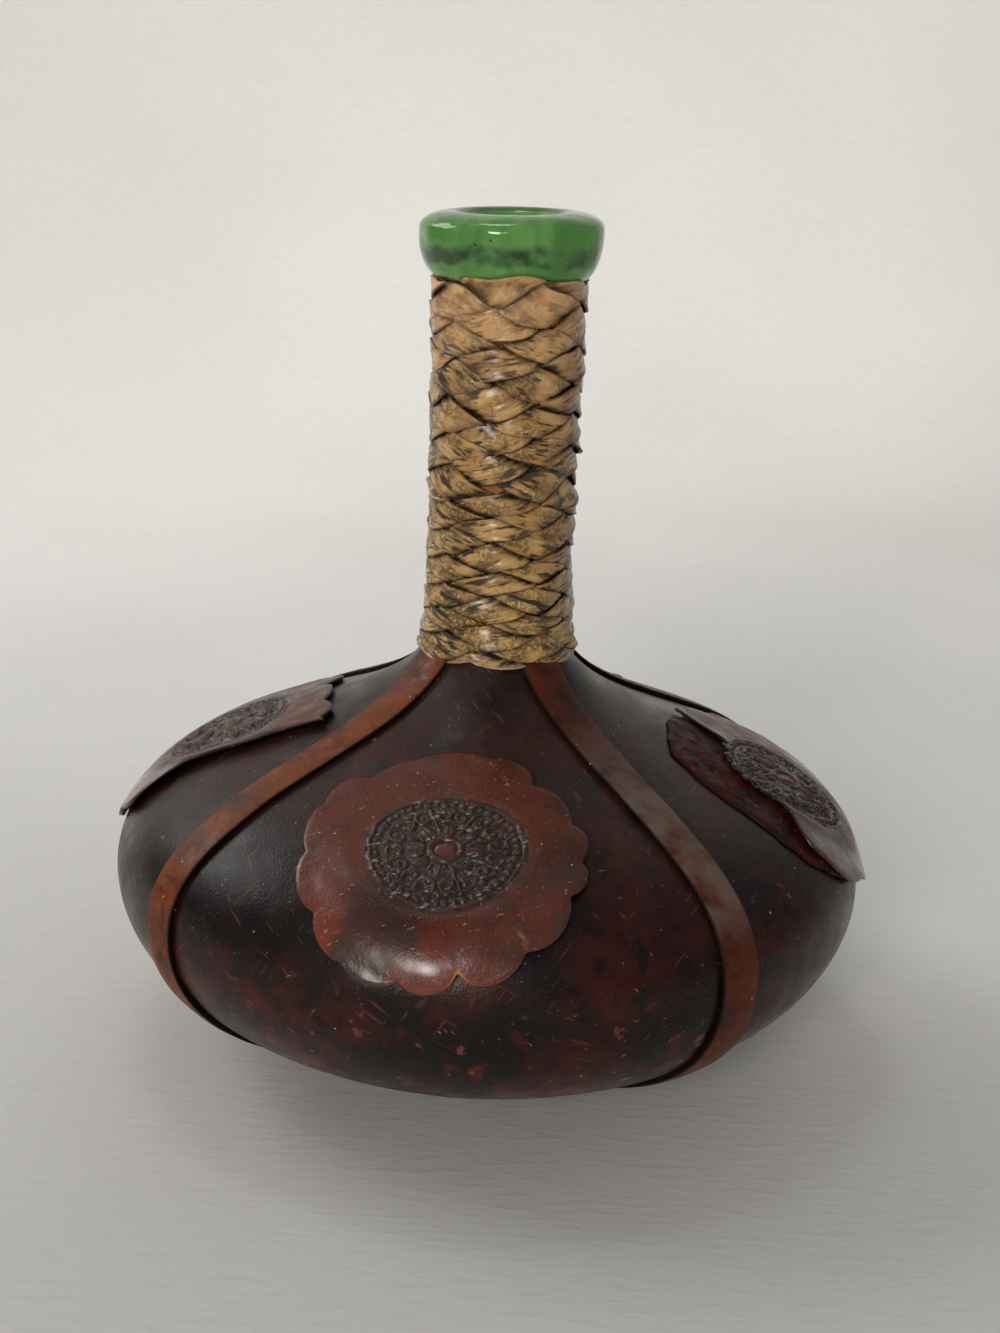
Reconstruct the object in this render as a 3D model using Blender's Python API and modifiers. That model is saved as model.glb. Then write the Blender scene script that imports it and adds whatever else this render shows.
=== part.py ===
"""A long-necked glass decanter dressed in leather.

A squat, wide bottle of green glass stands on a round leather base. Four leather gores cover its body,
a strap lies over each seam, and a scalloped medallion is glued to the middle of each gore. A leather
sleeve clads the neck, and ten flat laces are plaited over it, five of each hand.

Sizes are in metres and +Z is up. The bottle stands on the ground plane, around the world's origin.
"""

import math

import bmesh
import bpy
import numpy
from mathutils import Vector

PART_NAME = "leather_wrapped_decanter"

# Clearances
FIT = 0.0003
MEDALLION_FIT = 0.0004
LACE_FIT = 0.0005
LACE_CROSSING_GAP = 0.00035
SEAM_GAP = 0.0010

# Glass body
BODY_RADIUS = 0.0993
EQUATOR_HEIGHT = 0.0500
STANDING_RADIUS = 0.0420
STANDING_RING_WIDTH = 0.0120
PUNT_HEIGHT = 0.0120
GLASS_WALL = 0.0040
BELLY_RISE = 0.0356
NECK_SWEEP = 0.0346

# Glass neck and lip
NECK_FOOT_HEIGHT = 0.1190
NECK_FOOT_RADIUS = 0.0152
NECK_TOP_HEIGHT = 0.2066
NECK_TOP_RADIUS = 0.0163
LIP_HEIGHT = 0.0174
LIP_OVERHANG = 0.0071
LIP_STEP = 0.0015
LIP_CORNER_RADIUS = 0.0032
LIP_CURL_HEIGHT = 0.0114
BORE_RADIUS = 0.0105

# Leather of the body
BASE_LEATHER = 0.0018
BASE_OVERHANG = 0.0035
BASE_EDGE_ROUND = 0.0004
PANEL_LEATHER = 0.0012
PANEL_TURN_IN = 0.0080
STRAP_LEATHER = 0.0014
STRAP_WIDTH = 0.0110
STRAP_END_GAP = 0.0010
STRAP_TUCK_LEATHER = 0.0004
STRAP_TUCK_LENGTH = 0.0030
STRAP_SKIVE_LENGTH = 0.0020

# Medallions
MEDALLION_RADIUS = 0.0355
MEDALLION_LEATHER = 0.0014
SCALLOP_DEPTH = 0.0025
ROSETTE_RADIUS = 0.0180
ROSETTE_SLOPE_WIDTH = 0.0012
ROSETTE_RELIEF = 0.0006

# Neck sleeve and plait
SLEEVE_LEATHER = 0.0008
LACE_LEATHER = 0.0008
PLAIT_FOOT_DROP = 0.0082
PLAIT_EASE_HEIGHT = 0.0140

# Counts, shares and angles
GORES = 4
LACES_EACH_HAND = 5
PLAIT_ROWS = 20
LACE_HALF_WIDTH_SHARE = 0.40
MEDALLION_RISE_SHARE = 0.39855
SCALLOPS = 14
SECTORS_PER_SCALLOP = 3
ROSETTE_RING_SHARE = 0.5
MARGIN_RING_SHARES = (0.34, 0.69)
TURN_STEPS = 32
BELLY_STEPS = 7
SHOULDER_STEPS = 9
INNER_STEPS = 6
PUNT_STEPS = 3
CURL_STEPS = 5
STRAP_COLUMNS = 3
FRONT_TURN = math.radians(-7.5)
SHARP_ANGLE = math.radians(40)
WELD_DISTANCE = 0.00001
HALVINGS = 40
MERIDIAN_SAMPLES = 240

# Sizes that follow from the ones above
GLASS_BASE_HEIGHT = BASE_LEATHER + FIT + PANEL_LEATHER + FIT
PANEL_LIFT = FIT
STRAP_LIFT = PANEL_LIFT + PANEL_LEATHER + FIT
MEDALLION_LIFT = PANEL_LIFT + PANEL_LEATHER + MEDALLION_FIT
MEDALLION_HEIGHT = EQUATOR_HEIGHT + (NECK_FOOT_HEIGHT - EQUATOR_HEIGHT) * MEDALLION_RISE_SHARE
PUNT_RADIUS = STANDING_RADIUS - STANDING_RING_WIDTH
BASE_RADIUS = STANDING_RADIUS + BASE_OVERHANG
STRAP_END_RADIUS = BASE_RADIUS + STRAP_END_GAP
PLAIT_FOOT_HEIGHT = NECK_FOOT_HEIGHT - PLAIT_FOOT_DROP
STRAP_SKIVE_END_HEIGHT = PLAIT_FOOT_HEIGHT - FIT
STRAP_SKIVE_START_HEIGHT = STRAP_SKIVE_END_HEIGHT - STRAP_SKIVE_LENGTH
STRAP_TOP_HEIGHT = PLAIT_FOOT_HEIGHT + STRAP_TUCK_LENGTH
LIP_RADIUS = NECK_TOP_RADIUS + LIP_OVERHANG
LIP_CURL_WIDTH = LIP_OVERHANG - LIP_STEP
BOTTLE_HEIGHT = NECK_TOP_HEIGHT + LIP_HEIGHT
PLAIT_TOP_HEIGHT = NECK_TOP_HEIGHT - FIT
PLAIT_ROW_HEIGHT = (PLAIT_TOP_HEIGHT - PLAIT_FOOT_HEIGHT) / PLAIT_ROWS
LACE_SWING = (LACE_LEATHER + LACE_CROSSING_GAP) / 2
LACE_STACK = LACE_FIT + LACE_SWING + LACE_LEATHER / 2


class Spot:
    """A point of the glass outline, as radius and height, with the outward normal there."""

    def __init__(self, radius, height, out, up):
        length = math.hypot(out, up)
        self.radius = radius
        self.height = height
        self.out = out / length
        self.up = up / length

    def lifted(self, lift):
        """Radius and height at a distance from the glass, along the normal."""
        return self.radius + self.out * lift, self.height + self.up * lift


def belly(share):
    """Lower half of the body, an ellipse from the standing ring (0) to the widest ring (1)."""
    half_height = (EQUATOR_HEIGHT - GLASS_BASE_HEIGHT) / math.sqrt(1 - (STANDING_RADIUS / BODY_RADIUS) ** 2)
    angle = math.acos(STANDING_RADIUS / BODY_RADIUS) * (1 - share)
    radius = BODY_RADIUS * math.cos(angle)
    height = EQUATOR_HEIGHT - half_height * math.sin(angle)
    return Spot(radius, height, math.cos(angle) / BODY_RADIUS, -math.sin(angle) / half_height)


def shoulder(share):
    """Upper half of the body, one long curve from the widest ring (0) to the neck's foot (1)."""
    rest = 1 - share
    a = Vector((BODY_RADIUS, EQUATOR_HEIGHT))
    b = Vector((BODY_RADIUS, EQUATOR_HEIGHT + BELLY_RISE))
    c = Vector((NECK_FOOT_RADIUS, NECK_FOOT_HEIGHT - NECK_SWEEP))
    d = Vector((NECK_FOOT_RADIUS, NECK_FOOT_HEIGHT))
    point = a * rest ** 3 + b * 3 * rest ** 2 * share + c * 3 * rest * share ** 2 + d * share ** 3
    slope = (b - a) * rest ** 2 + (c - b) * 2 * rest * share + (d - c) * share ** 2
    return Spot(point.x, point.y, slope.y, -slope.x)


def shoulder_share(height, lift=0.0):
    """How far along the shoulder a surface that lies a lift off the glass reaches a height."""
    low, high = 0.0, 1.0
    for _ in range(HALVINGS):
        middle = (low + high) / 2
        if shoulder(middle).lifted(lift)[1] < height:
            low = middle
        else:
            high = middle
    return (low + high) / 2


def radius_at_height(height, lift=0.0):
    """Radius, at a height above the widest ring, of a surface that lies a lift off the glass."""
    if height <= NECK_FOOT_HEIGHT:
        return shoulder(shoulder_share(height, lift)).lifted(lift)[0]
    share = (height - NECK_FOOT_HEIGHT) / (NECK_TOP_HEIGHT - NECK_FOOT_HEIGHT)
    return NECK_FOOT_RADIUS + (NECK_TOP_RADIUS - NECK_FOOT_RADIUS) * share + lift


def strap_spots():
    """Rows up the body under a strap, from its lower end to its skived end under the plait."""
    full_turn = math.acos(STANDING_RADIUS / BODY_RADIUS)
    start = 1 - math.acos(STRAP_END_RADIUS / BODY_RADIUS) / full_turn
    outer_lift = STRAP_LIFT + STRAP_LEATHER
    skive_start = shoulder_share(STRAP_SKIVE_START_HEIGHT, outer_lift)
    skive_end = shoulder_share(STRAP_SKIVE_END_HEIGHT, outer_lift)
    top = shoulder_share(STRAP_TOP_HEIGHT, outer_lift)
    spots = [belly(start + (1 - start) * step / BELLY_STEPS) for step in range(BELLY_STEPS)]
    spots += [shoulder(skive_start * step / SHOULDER_STEPS) for step in range(SHOULDER_STEPS + 1)]
    return spots + [shoulder(skive_end), shoulder(top)]


def body_spots():
    """Rows up the body, shared by the glass and the leather, from the standing ring to the neck."""
    return [belly(0)] + strap_spots() + [shoulder(1)]


class Meridian:
    """The body's outline measured along the glass, from the standing ring up to the neck's foot."""

    def __init__(self):
        steps = numpy.linspace(0, 1, MERIDIAN_SAMPLES)
        self.spots = [belly(step) for step in steps]
        self.spots += [shoulder(step) for step in steps[1:]]
        radius = [spot.radius for spot in self.spots]
        self.height = [spot.height for spot in self.spots]
        runs = numpy.hypot(numpy.diff(radius), numpy.diff(self.height))
        self.length = numpy.concatenate([[0], numpy.cumsum(runs)])

    def length_at_height(self, height):
        return float(numpy.interp(height, self.height, self.length))

    def spot(self, length):
        """The spot at a length along the glass."""
        index = int(numpy.searchsorted(self.length, length))
        index = min(max(index, 1), len(self.spots) - 1)
        below, above = self.spots[index - 1], self.spots[index]
        run = self.length[index] - self.length[index - 1]
        share = (length - self.length[index - 1]) / run

        def between(low, high):
            return float(low + (high - low) * share)

        return Spot(
            between(below.radius, above.radius),
            between(below.height, above.height),
            between(below.out, above.out),
            between(below.up, above.up),
        )


def around(radius, height, azimuth):
    """A point by its azimuth, which is 0 at the front (-Y) and grows towards +X."""
    return Vector((radius * math.sin(azimuth), -radius * math.cos(azimuth), height))


# Objects, materials and modifiers

def new_material(name, colour, roughness, alpha=1.0):
    """A Principled material with a plain colour."""
    material = bpy.data.materials.new(name)
    material.use_nodes = True
    shader = material.node_tree.nodes["Principled BSDF"]
    shader.inputs["Base Color"].default_value = (*colour, 1.0)
    shader.inputs["Roughness"].default_value = roughness
    shader.inputs["Metallic"].default_value = 0.0
    shader.inputs["Alpha"].default_value = alpha
    material.diffuse_color = (*colour, alpha)
    return material


def new_object(name, mesh, material, turn=0.0):
    """An object on a mesh, turned about the bottle's axis and parented to the bottle's front."""
    if not mesh.materials:
        mesh.materials.append(material)
    thing = bpy.data.objects.new(name, mesh)
    thing.rotation_euler.z = turn
    thing.parent = bpy.data.objects["front"]
    bpy.data.collections[PART_NAME].objects.link(thing)
    return thing


def mesh_from(bm, name):
    """A smooth-shaded mesh made from a bmesh, which is freed."""
    mesh = bpy.data.meshes.new(name)
    bm.to_mesh(mesh)
    bm.free()
    mesh.shade_smooth()
    mesh.set_sharp_from_angle(angle=SHARP_ANGLE)
    return mesh


def sheet(columns, rows, place):
    """A grid of columns by rows points; place(column, row) gives where each point lies."""
    bm = bmesh.new()
    bmesh.ops.create_grid(bm, x_segments=columns - 1, y_segments=rows - 1, size=1)
    for vert in bm.verts:
        column = round((vert.co.x + 1) / 2 * (columns - 1))
        row = round((vert.co.y + 1) / 2 * (rows - 1))
        vert.co = place(column, row)
    return bm


def thicken(thing, thickness, offset):
    """Give a sheet its leather thickness; offset 1 grows outwards, 0 to both sides."""
    shell = thing.modifiers.new("Leather", "SOLIDIFY")
    shell.thickness = thickness
    shell.offset = offset
    shell.use_even_offset = True
    return shell


def turned_mesh(name, outline, closed):
    """Edges along an outline of (radius, height) points, for a Screw modifier."""
    bm = bmesh.new()
    verts = [bm.verts.new((radius, 0, height)) for radius, height in outline]
    for first, second in zip(verts, verts[1:]):
        bm.edges.new((first, second))
    if closed:
        bm.edges.new((verts[-1], verts[0]))
    mesh = bpy.data.meshes.new(name)
    bm.to_mesh(mesh)
    bm.free()
    return mesh


def turn_about_axis(thing):
    """Turn an outline once about the bottle's axis."""
    screw = thing.modifiers.new("Turned", "SCREW")
    screw.axis = "Z"
    screw.angle = 2 * math.pi
    screw.steps = TURN_STEPS
    screw.render_steps = TURN_STEPS
    screw.use_merge_vertices = True
    screw.merge_threshold = WELD_DISTANCE
    screw.use_smooth_shade = True


# Glass

def lip_outline():
    """The thick collar at the mouth, from the bore's edge out, over and back under to the neck."""
    corner_centre = LIP_RADIUS - LIP_CORNER_RADIUS
    points = [(BORE_RADIUS, NECK_TOP_HEIGHT), (BORE_RADIUS, BOTTLE_HEIGHT)]
    for step in range(CURL_STEPS + 1):
        angle = math.pi / 2 * step / CURL_STEPS
        points.append((
            corner_centre + LIP_CORNER_RADIUS * math.sin(angle),
            BOTTLE_HEIGHT - LIP_CORNER_RADIUS * (1 - math.cos(angle)),
        ))
    curl_centre = LIP_RADIUS - LIP_CURL_WIDTH
    for step in range(CURL_STEPS + 1):
        angle = math.pi / 2 * step / CURL_STEPS
        points.append((
            curl_centre + LIP_CURL_WIDTH * math.cos(angle),
            NECK_TOP_HEIGHT + LIP_CURL_HEIGHT * (1 - math.sin(angle)),
        ))
    points.append((NECK_TOP_RADIUS, NECK_TOP_HEIGHT))
    return points


def punt_outline(lift):
    """The dome under the body, from its centre out to its rim, lifted off the glass's underside."""
    points = []
    for step in range(PUNT_STEPS + 1):
        share = step / PUNT_STEPS
        rise = PUNT_HEIGHT * math.cos(math.pi / 2 * share)
        points.append((PUNT_RADIUS * share, GLASS_BASE_HEIGHT + lift + rise))
    return points


def glass_outline():
    """The bottle's closed wall: up the inside, over the lip, down the outside and under the base."""
    inside = punt_outline(GLASS_WALL)
    inside += [belly(step / INNER_STEPS).lifted(-GLASS_WALL) for step in range(INNER_STEPS)]
    inside += [shoulder(step / INNER_STEPS).lifted(-GLASS_WALL) for step in range(INNER_STEPS + 1)]
    outside = [spot.lifted(0) for spot in body_spots()[::-1]]
    underside = punt_outline(0)
    return inside + lip_outline() + outside + underside[::-1]


def add_bottle(material):
    bottle = new_object("glass_bottle", turned_mesh("glass_bottle", glass_outline(), False), material)
    turn_about_axis(bottle)


# Leather of the body

def add_base(material):
    bm = bmesh.new()
    bmesh.ops.create_cone(
        bm, cap_ends=True, segments=TURN_STEPS, radius1=BASE_RADIUS, radius2=BASE_RADIUS, depth=BASE_LEATHER
    )
    lower_rim = [edge for edge in bm.edges if all(vert.co.z < 0 for vert in edge.verts)]
    bmesh.ops.bevel(bm, geom=lower_rim, offset=BASE_EDGE_ROUND, segments=1, profile=0.5, affect="EDGES")
    base = new_object("base_leather", mesh_from(bm, "base_leather"), material)
    base.location.z = BASE_LEATHER / 2


def add_gores(material):
    """Four quarter coats of leather, each from seam to seam."""
    turn_in = Spot(STANDING_RADIUS - PANEL_TURN_IN, GLASS_BASE_HEIGHT, 0, -1)
    spots = [turn_in] + body_spots()
    columns = TURN_STEPS // GORES + 1
    half = math.pi / GORES

    def place(column, row):
        radius, height = spots[row].lifted(PANEL_LIFT)
        trim = SEAM_GAP / 2 / radius
        azimuth = -half + 2 * half * column / (columns - 1)
        return around(radius, height, min(max(azimuth, -half + trim), half - trim))

    mesh = mesh_from(sheet(columns, len(spots), place), "gore")
    for number in range(GORES):
        gore = new_object(f"gore_{number + 1}", mesh, material, 2 * half * number)
        thicken(gore, PANEL_LEATHER, 1)


def add_straps(material):
    """A strap over each seam, thinned where it goes under the plait."""
    spots = strap_spots()
    half = math.pi / GORES

    def place(column, row):
        radius, height = spots[row].lifted(STRAP_LIFT)
        across = STRAP_WIDTH * (column / STRAP_COLUMNS - 0.5)
        return around(radius, height, half + across / radius)

    mesh = mesh_from(sheet(STRAP_COLUMNS + 1, len(spots), place), "strap")
    tucked_points = 2 * (STRAP_COLUMNS + 1)
    full_points = list(range(len(mesh.vertices) - tucked_points))
    for number in range(GORES):
        strap = new_object(f"strap_{number + 1}", mesh, material, 2 * half * number)
        full = strap.vertex_groups.new(name="full_leather")
        full.add(full_points, 1.0, "REPLACE")
        shell = thicken(strap, STRAP_LEATHER, 1)
        shell.vertex_group = full.name
        shell.thickness_vertex_group = STRAP_TUCK_LEATHER / STRAP_LEATHER


# Medallions

def medallion_rings():
    """Ring radii from the centre out: the embossed rosette, its slope and the plain margin."""
    slope_end = ROSETTE_RADIUS + ROSETTE_SLOPE_WIDTH
    margin = MEDALLION_RADIUS - slope_end
    rings = [0.0, ROSETTE_RADIUS * ROSETTE_RING_SHARE, ROSETTE_RADIUS, slope_end]
    rings += [slope_end + margin * share for share in MARGIN_RING_SHARES]
    return rings + [MEDALLION_RADIUS]


def flat_medallion():
    """A flat polar net, spun from one line of rings."""
    bm = bmesh.new()
    verts = [bm.verts.new((ring, 0, 0)) for ring in medallion_rings()]
    edges = [bm.edges.new(pair) for pair in zip(verts, verts[1:])]
    sectors = SCALLOPS * SECTORS_PER_SCALLOP
    bmesh.ops.spin(
        bm, geom=verts + edges, cent=(0, 0, 0), axis=(0, 0, 1), angle=2 * math.pi, steps=sectors, use_merge=True
    )
    bmesh.ops.remove_doubles(bm, verts=bm.verts, dist=WELD_DISTANCE)
    bmesh.ops.recalc_face_normals(bm, faces=bm.faces)
    bm.faces.ensure_lookup_table()
    if bm.faces[0].normal.z < 0:
        bmesh.ops.reverse_faces(bm, faces=bm.faces)
    return bm


def scalloped(ring, angle):
    """A ring's radius at an angle, drawn in at the cusps between the scallops, most at the rim."""
    wave = abs(math.sin(SCALLOPS / 2 * angle))
    share = max(0.0, (ring - ROSETTE_RADIUS) / (MEDALLION_RADIUS - ROSETTE_RADIUS))
    return ring - SCALLOP_DEPTH * share ** 2 * (1 - wave)


def add_medallions(material):
    """Scalloped discs with a raised rosette, laid on the gores along the body's curve."""
    meridian = Meridian()
    centre = meridian.length_at_height(MEDALLION_HEIGHT)
    bm = flat_medallion()
    for vert in bm.verts:
        ring = math.hypot(vert.co.x, vert.co.y)
        angle = math.atan2(vert.co.y, vert.co.x)
        reach = scalloped(ring, angle)
        spot = meridian.spot(centre + reach * math.sin(angle))
        lift = MEDALLION_LIFT
        if ring < ROSETTE_RADIUS + ROSETTE_SLOPE_WIDTH / 2:
            lift += ROSETTE_RELIEF
        radius, height = spot.lifted(lift)
        vert.co = around(radius, height, reach * math.cos(angle) / radius)
    mesh = mesh_from(bm, "medallion")
    for number in range(GORES):
        medallion = new_object(f"medallion_{number + 1}", mesh, material, 2 * math.pi / GORES * number)
        thicken(medallion, MEDALLION_LEATHER, 1)


# Neck sleeve and plait

def add_sleeve(material):
    """A thin leather tube between the neck glass and the plait."""
    low = NECK_FOOT_HEIGHT + FIT
    high = NECK_TOP_HEIGHT - FIT
    inner_top = radius_at_height(high, FIT)
    inner_foot = radius_at_height(low, FIT)
    outline = [
        (inner_top + SLEEVE_LEATHER, high),
        (inner_foot + SLEEVE_LEATHER, low),
        (inner_foot, low),
        (inner_top, high),
    ]
    sleeve = new_object("neck_sleeve", turned_mesh("neck_sleeve", outline, True), material)
    turn_about_axis(sleeve)


def plait_radius(height):
    """Middle radius of the plait, which rides on the strap ends at its foot and on the sleeve above."""
    over_straps = STRAP_LIFT + STRAP_TUCK_LEATHER
    over_sleeve = FIT + SLEEVE_LEATHER
    share = (height - NECK_FOOT_HEIGHT) / PLAIT_EASE_HEIGHT
    share = min(max(share, 0.0), 1.0)
    ease = (1 + math.cos(math.pi * share)) / 2
    return radius_at_height(height, over_sleeve + (over_straps - over_sleeve) * ease + LACE_STACK)


def weave(crossing):
    """Over (1) or under (-1) along a lace, counted in crossings, with slopes between the flats."""
    nearest = round(crossing)
    side = 1 if nearest % 2 == 0 else -1
    away = abs(crossing - nearest)
    flat = LACE_HALF_WIDTH_SHARE
    return side * min(1.0, 1 - (away - flat) / (0.5 - flat))


def lace_mesh(name, right_hand, along_stations):
    """One lace as a sheet that winds up the neck, cut level at the plait's foot and top.

    The laces follow a slanted net: one family runs along p, the other along q, and they cross
    wherever p and q are both whole. Height grows with p + q and the turn with p - q.
    """
    across_stations = (-LACE_HALF_WIDTH_SHARE, 0.0, LACE_HALF_WIDTH_SHARE)
    swing = LACE_SWING if right_hand else -LACE_SWING

    def net_point(p, q, crossing):
        height = PLAIT_FOOT_HEIGHT + (p + q) * PLAIT_ROW_HEIGHT
        radius = plait_radius(height) + swing * weave(crossing)
        return around(radius, height, (p - q) * math.pi / LACES_EACH_HAND)

    if right_hand:
        bm = sheet(len(along_stations), len(across_stations), lambda column, row: net_point(
            along_stations[column], across_stations[row], along_stations[column]))
    else:
        bm = sheet(len(across_stations), len(along_stations), lambda column, row: net_point(
            across_stations[column], along_stations[row], along_stations[row]))
    bmesh.ops.triangulate(bm, faces=bm.faces, quad_method="SHORT_EDGE")
    for height, side in ((PLAIT_FOOT_HEIGHT, -1), (PLAIT_TOP_HEIGHT, 1)):
        bmesh.ops.bisect_plane(
            bm, geom=bm.verts[:] + bm.edges[:] + bm.faces[:], dist=WELD_DISTANCE,
            plane_co=(0, 0, height), plane_no=(0, 0, side), clear_outer=True,
        )
    bmesh.ops.triangulate(bm, faces=bm.faces)
    return mesh_from(bm, name)


def add_laces(material):
    """Ten flat laces plaited over one, under one, five winding each way."""
    along_stations = []
    for crossing in range(PLAIT_ROWS + 1):
        along_stations += [crossing - LACE_HALF_WIDTH_SHARE, crossing, crossing + LACE_HALF_WIDTH_SHARE]
    for name, right_hand in (("lace_right_hand", True), ("lace_left_hand", False)):
        mesh = lace_mesh(name, right_hand, along_stations)
        for number in range(LACES_EACH_HAND):
            turn = 2 * math.pi / LACES_EACH_HAND * number
            lace = new_object(f"{name}_{number + 1}", mesh, material, turn)
            thicken(lace, LACE_LEATHER, 0)


def main():
    for thing in list(bpy.data.objects):
        bpy.data.objects.remove(thing, do_unlink=True)
    collection = bpy.data.collections.new(PART_NAME)
    bpy.context.scene.collection.children.link(collection)
    front = bpy.data.objects.new("front", None)
    front.rotation_euler.z = FRONT_TURN
    collection.objects.link(front)

    glass = new_material("green_glass", (0.05, 0.27, 0.06), 0.05, 0.45)
    gore_leather = new_material("burgundy_leather", (0.035, 0.009, 0.008), 0.35)
    strap_leather = new_material("brown_strap_leather", (0.14, 0.045, 0.018), 0.45)
    medallion_leather = new_material("red_brown_leather", (0.10, 0.028, 0.016), 0.40)
    base_leather = new_material("dark_base_leather", (0.03, 0.013, 0.010), 0.60)
    sleeve_leather = new_material("orange_under_leather", (0.25, 0.070, 0.020), 0.65)
    lace_leather = new_material("tan_lace_leather", (0.30, 0.17, 0.075), 0.60)

    add_bottle(glass)
    add_base(base_leather)
    add_gores(gore_leather)
    add_straps(strap_leather)
    add_medallions(medallion_leather)
    add_sleeve(sleeve_leather)
    add_laces(lace_leather)


main()
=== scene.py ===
"""A leather-dressed decanter: a green glass bottle in a coat of dyed, tooled and plaited leather.

The file is laid out as an add-on and run as a script. Sizes are in metres and +Z is up. The bottle stands
on the ground plane around the world's origin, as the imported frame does, and its front looks towards -Y.
"""

import math

import bmesh
import bpy
import numpy
from mathutils import Matrix, Vector, noise


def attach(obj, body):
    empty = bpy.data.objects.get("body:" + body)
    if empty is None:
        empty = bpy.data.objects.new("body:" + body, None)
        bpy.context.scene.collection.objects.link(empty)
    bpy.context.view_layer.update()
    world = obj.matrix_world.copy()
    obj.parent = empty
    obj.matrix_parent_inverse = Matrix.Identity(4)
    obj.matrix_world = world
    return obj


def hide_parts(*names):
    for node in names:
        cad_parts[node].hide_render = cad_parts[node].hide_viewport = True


bl_info = {
    "name": "Leather-dressed decanter",
    "version": (1, 0, 0),
    "blender": (4, 5, 0),
    "location": "3D View > Sidebar > Decanter",
    "description": "Builds a green glass decanter dressed in strapped, tooled and plaited leather",
    "category": "Add Mesh",
}

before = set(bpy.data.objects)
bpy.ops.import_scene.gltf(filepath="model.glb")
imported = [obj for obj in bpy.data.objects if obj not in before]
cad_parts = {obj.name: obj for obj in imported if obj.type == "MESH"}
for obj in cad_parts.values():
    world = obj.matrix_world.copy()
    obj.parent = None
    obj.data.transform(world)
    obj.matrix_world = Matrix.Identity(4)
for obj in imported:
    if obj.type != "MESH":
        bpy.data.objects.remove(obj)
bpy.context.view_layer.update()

# The frame's sizes in metres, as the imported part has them
BODY_RADIUS = 0.0993
EQUATOR_HEIGHT = 0.0500
STANDING_RADIUS = 0.0420
PUNT_RADIUS = 0.0300
PUNT_HEIGHT = 0.0120
GLASS_BASE_HEIGHT = 0.0036
GLASS_WALL = 0.0040
BELLY_RISE = 0.0356
NECK_SWEEP = 0.0346
NECK_FOOT_HEIGHT = 0.1190
NECK_FOOT_RADIUS = 0.0152
NECK_TOP_HEIGHT = 0.2066
NECK_TOP_RADIUS = 0.0163
BOTTLE_HEIGHT = 0.2240
LIP_RADIUS = 0.0234
LIP_CURL_WIDTH = 0.0056
LIP_CURL_HEIGHT = 0.0114
BORE_RADIUS = 0.0105
BASE_RADIUS = 0.0455
BASE_LEATHER = 0.0018
PANEL_LIFT = 0.0003
PANEL_LEATHER = 0.0012
PANEL_TURN_IN = 0.0080
SEAM_GAP = 0.0010
STRAP_LIFT = 0.0018
STRAP_LEATHER = 0.0014
STRAP_TUCK_LEATHER = 0.0004
STRAP_END_RADIUS = 0.0465
STRAP_SKIVE_HEIGHTS = (0.1085, 0.1105)
STRAP_TOP_HEIGHT = 0.1138
MEDALLION_HEIGHT = 0.0775
MEDALLION_LIFT = 0.0019
MEDALLION_LEATHER = 0.0014
SLEEVE_LIFT = 0.0003
SLEEVE_LEATHER = 0.0008
PLAIT_FOOT_HEIGHT = 0.1108
PLAIT_TOP_HEIGHT = 0.2063
PLAIT_EASE_HEIGHT = 0.0140
LACE_STACK = 0.001475
LACE_LEATHER = 0.0008
SIDES = 4
LACES_EACH_HAND = 5
FRONT_TURN = math.radians(-7.5)

# What the visible pieces add to them, in metres unless the name says otherwise
LIP_CREST_RADIUS = 0.0150
LIP_CREST_FALL = 0.0040
LIP_MOUTH_FALL = 0.0042
LIP_TRUE_RADIUS = 0.0125
LIP_EASE = 0.0060
LIP_WOBBLE = 0.00025
LIP_TILT_SHARE = 0.022
STRING_FOOT_HEIGHTS = (0.2137, 0.2150)
STRING_TOP_HEIGHTS = (0.2194, 0.2172)
# Where shade is painted on the glass just inside the mouth's rim: radii and heights in metres
MOUTH_SHADE_INNER_RADII = (0.0120, 0.0128)
MOUTH_SHADE_OUTER_RADII = (0.0149, 0.0143)
MOUTH_SHADE_HEIGHTS = (0.2205, 0.2215)
BASE_ROUNDING = 0.0004
PANEL_EVEN_LENGTH = 0.0200
PANEL_SWELL = 0.00014
PANEL_RIPPLE = 0.00005
STRAP_WANDER = 0.0005
STRAP_WIDTH_SHARE = 0.05
STRAP_EDGE_FALL = 0.00028
STRAP_CROWN = 0.0001
STRAP_RIPPLE = 0.00005
STRAP_ROUNDING = 0.00022
MEDALLION_GAP = 0.0001
TORN_GRAIN_LEATHER = 0.0007
TORN_SPLIT_LEATHER = 0.00035
SLEEVE_END_GAP = 0.0003
PLAIT_ROWS = 24
PLAIT_TIGHTENING_SHARE = 0.25
LACE_PRESS_SHARE = 0.85
GAP_ROW = 13
GAP_OPENING_SHARE = 0.17
GAP_REACH_SHARE = 0.7
FOOT_LOBES = 7
FOOT_LOBE_TURN = math.radians(18)
FOOT_LOBE_DROP = 0.0019
FOOT_ROLL_HEIGHT = 0.0016
FOOT_EASE = 0.0070
TOP_EASE = 0.0060
ROW_WANDER = 0.0016
# Where the plait has one pale spot: azimuth in radians and height in metres
PALE_SPOT_TURN = 0.34
PALE_SPOT_HEIGHT = 0.1854

MM = 0.001
WELD = 0.000005


# The bottle's outline

def interpolate(value, places, values):
    """What a line of points holds at a place along it."""
    return float(numpy.interp(value, places, values))


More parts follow.
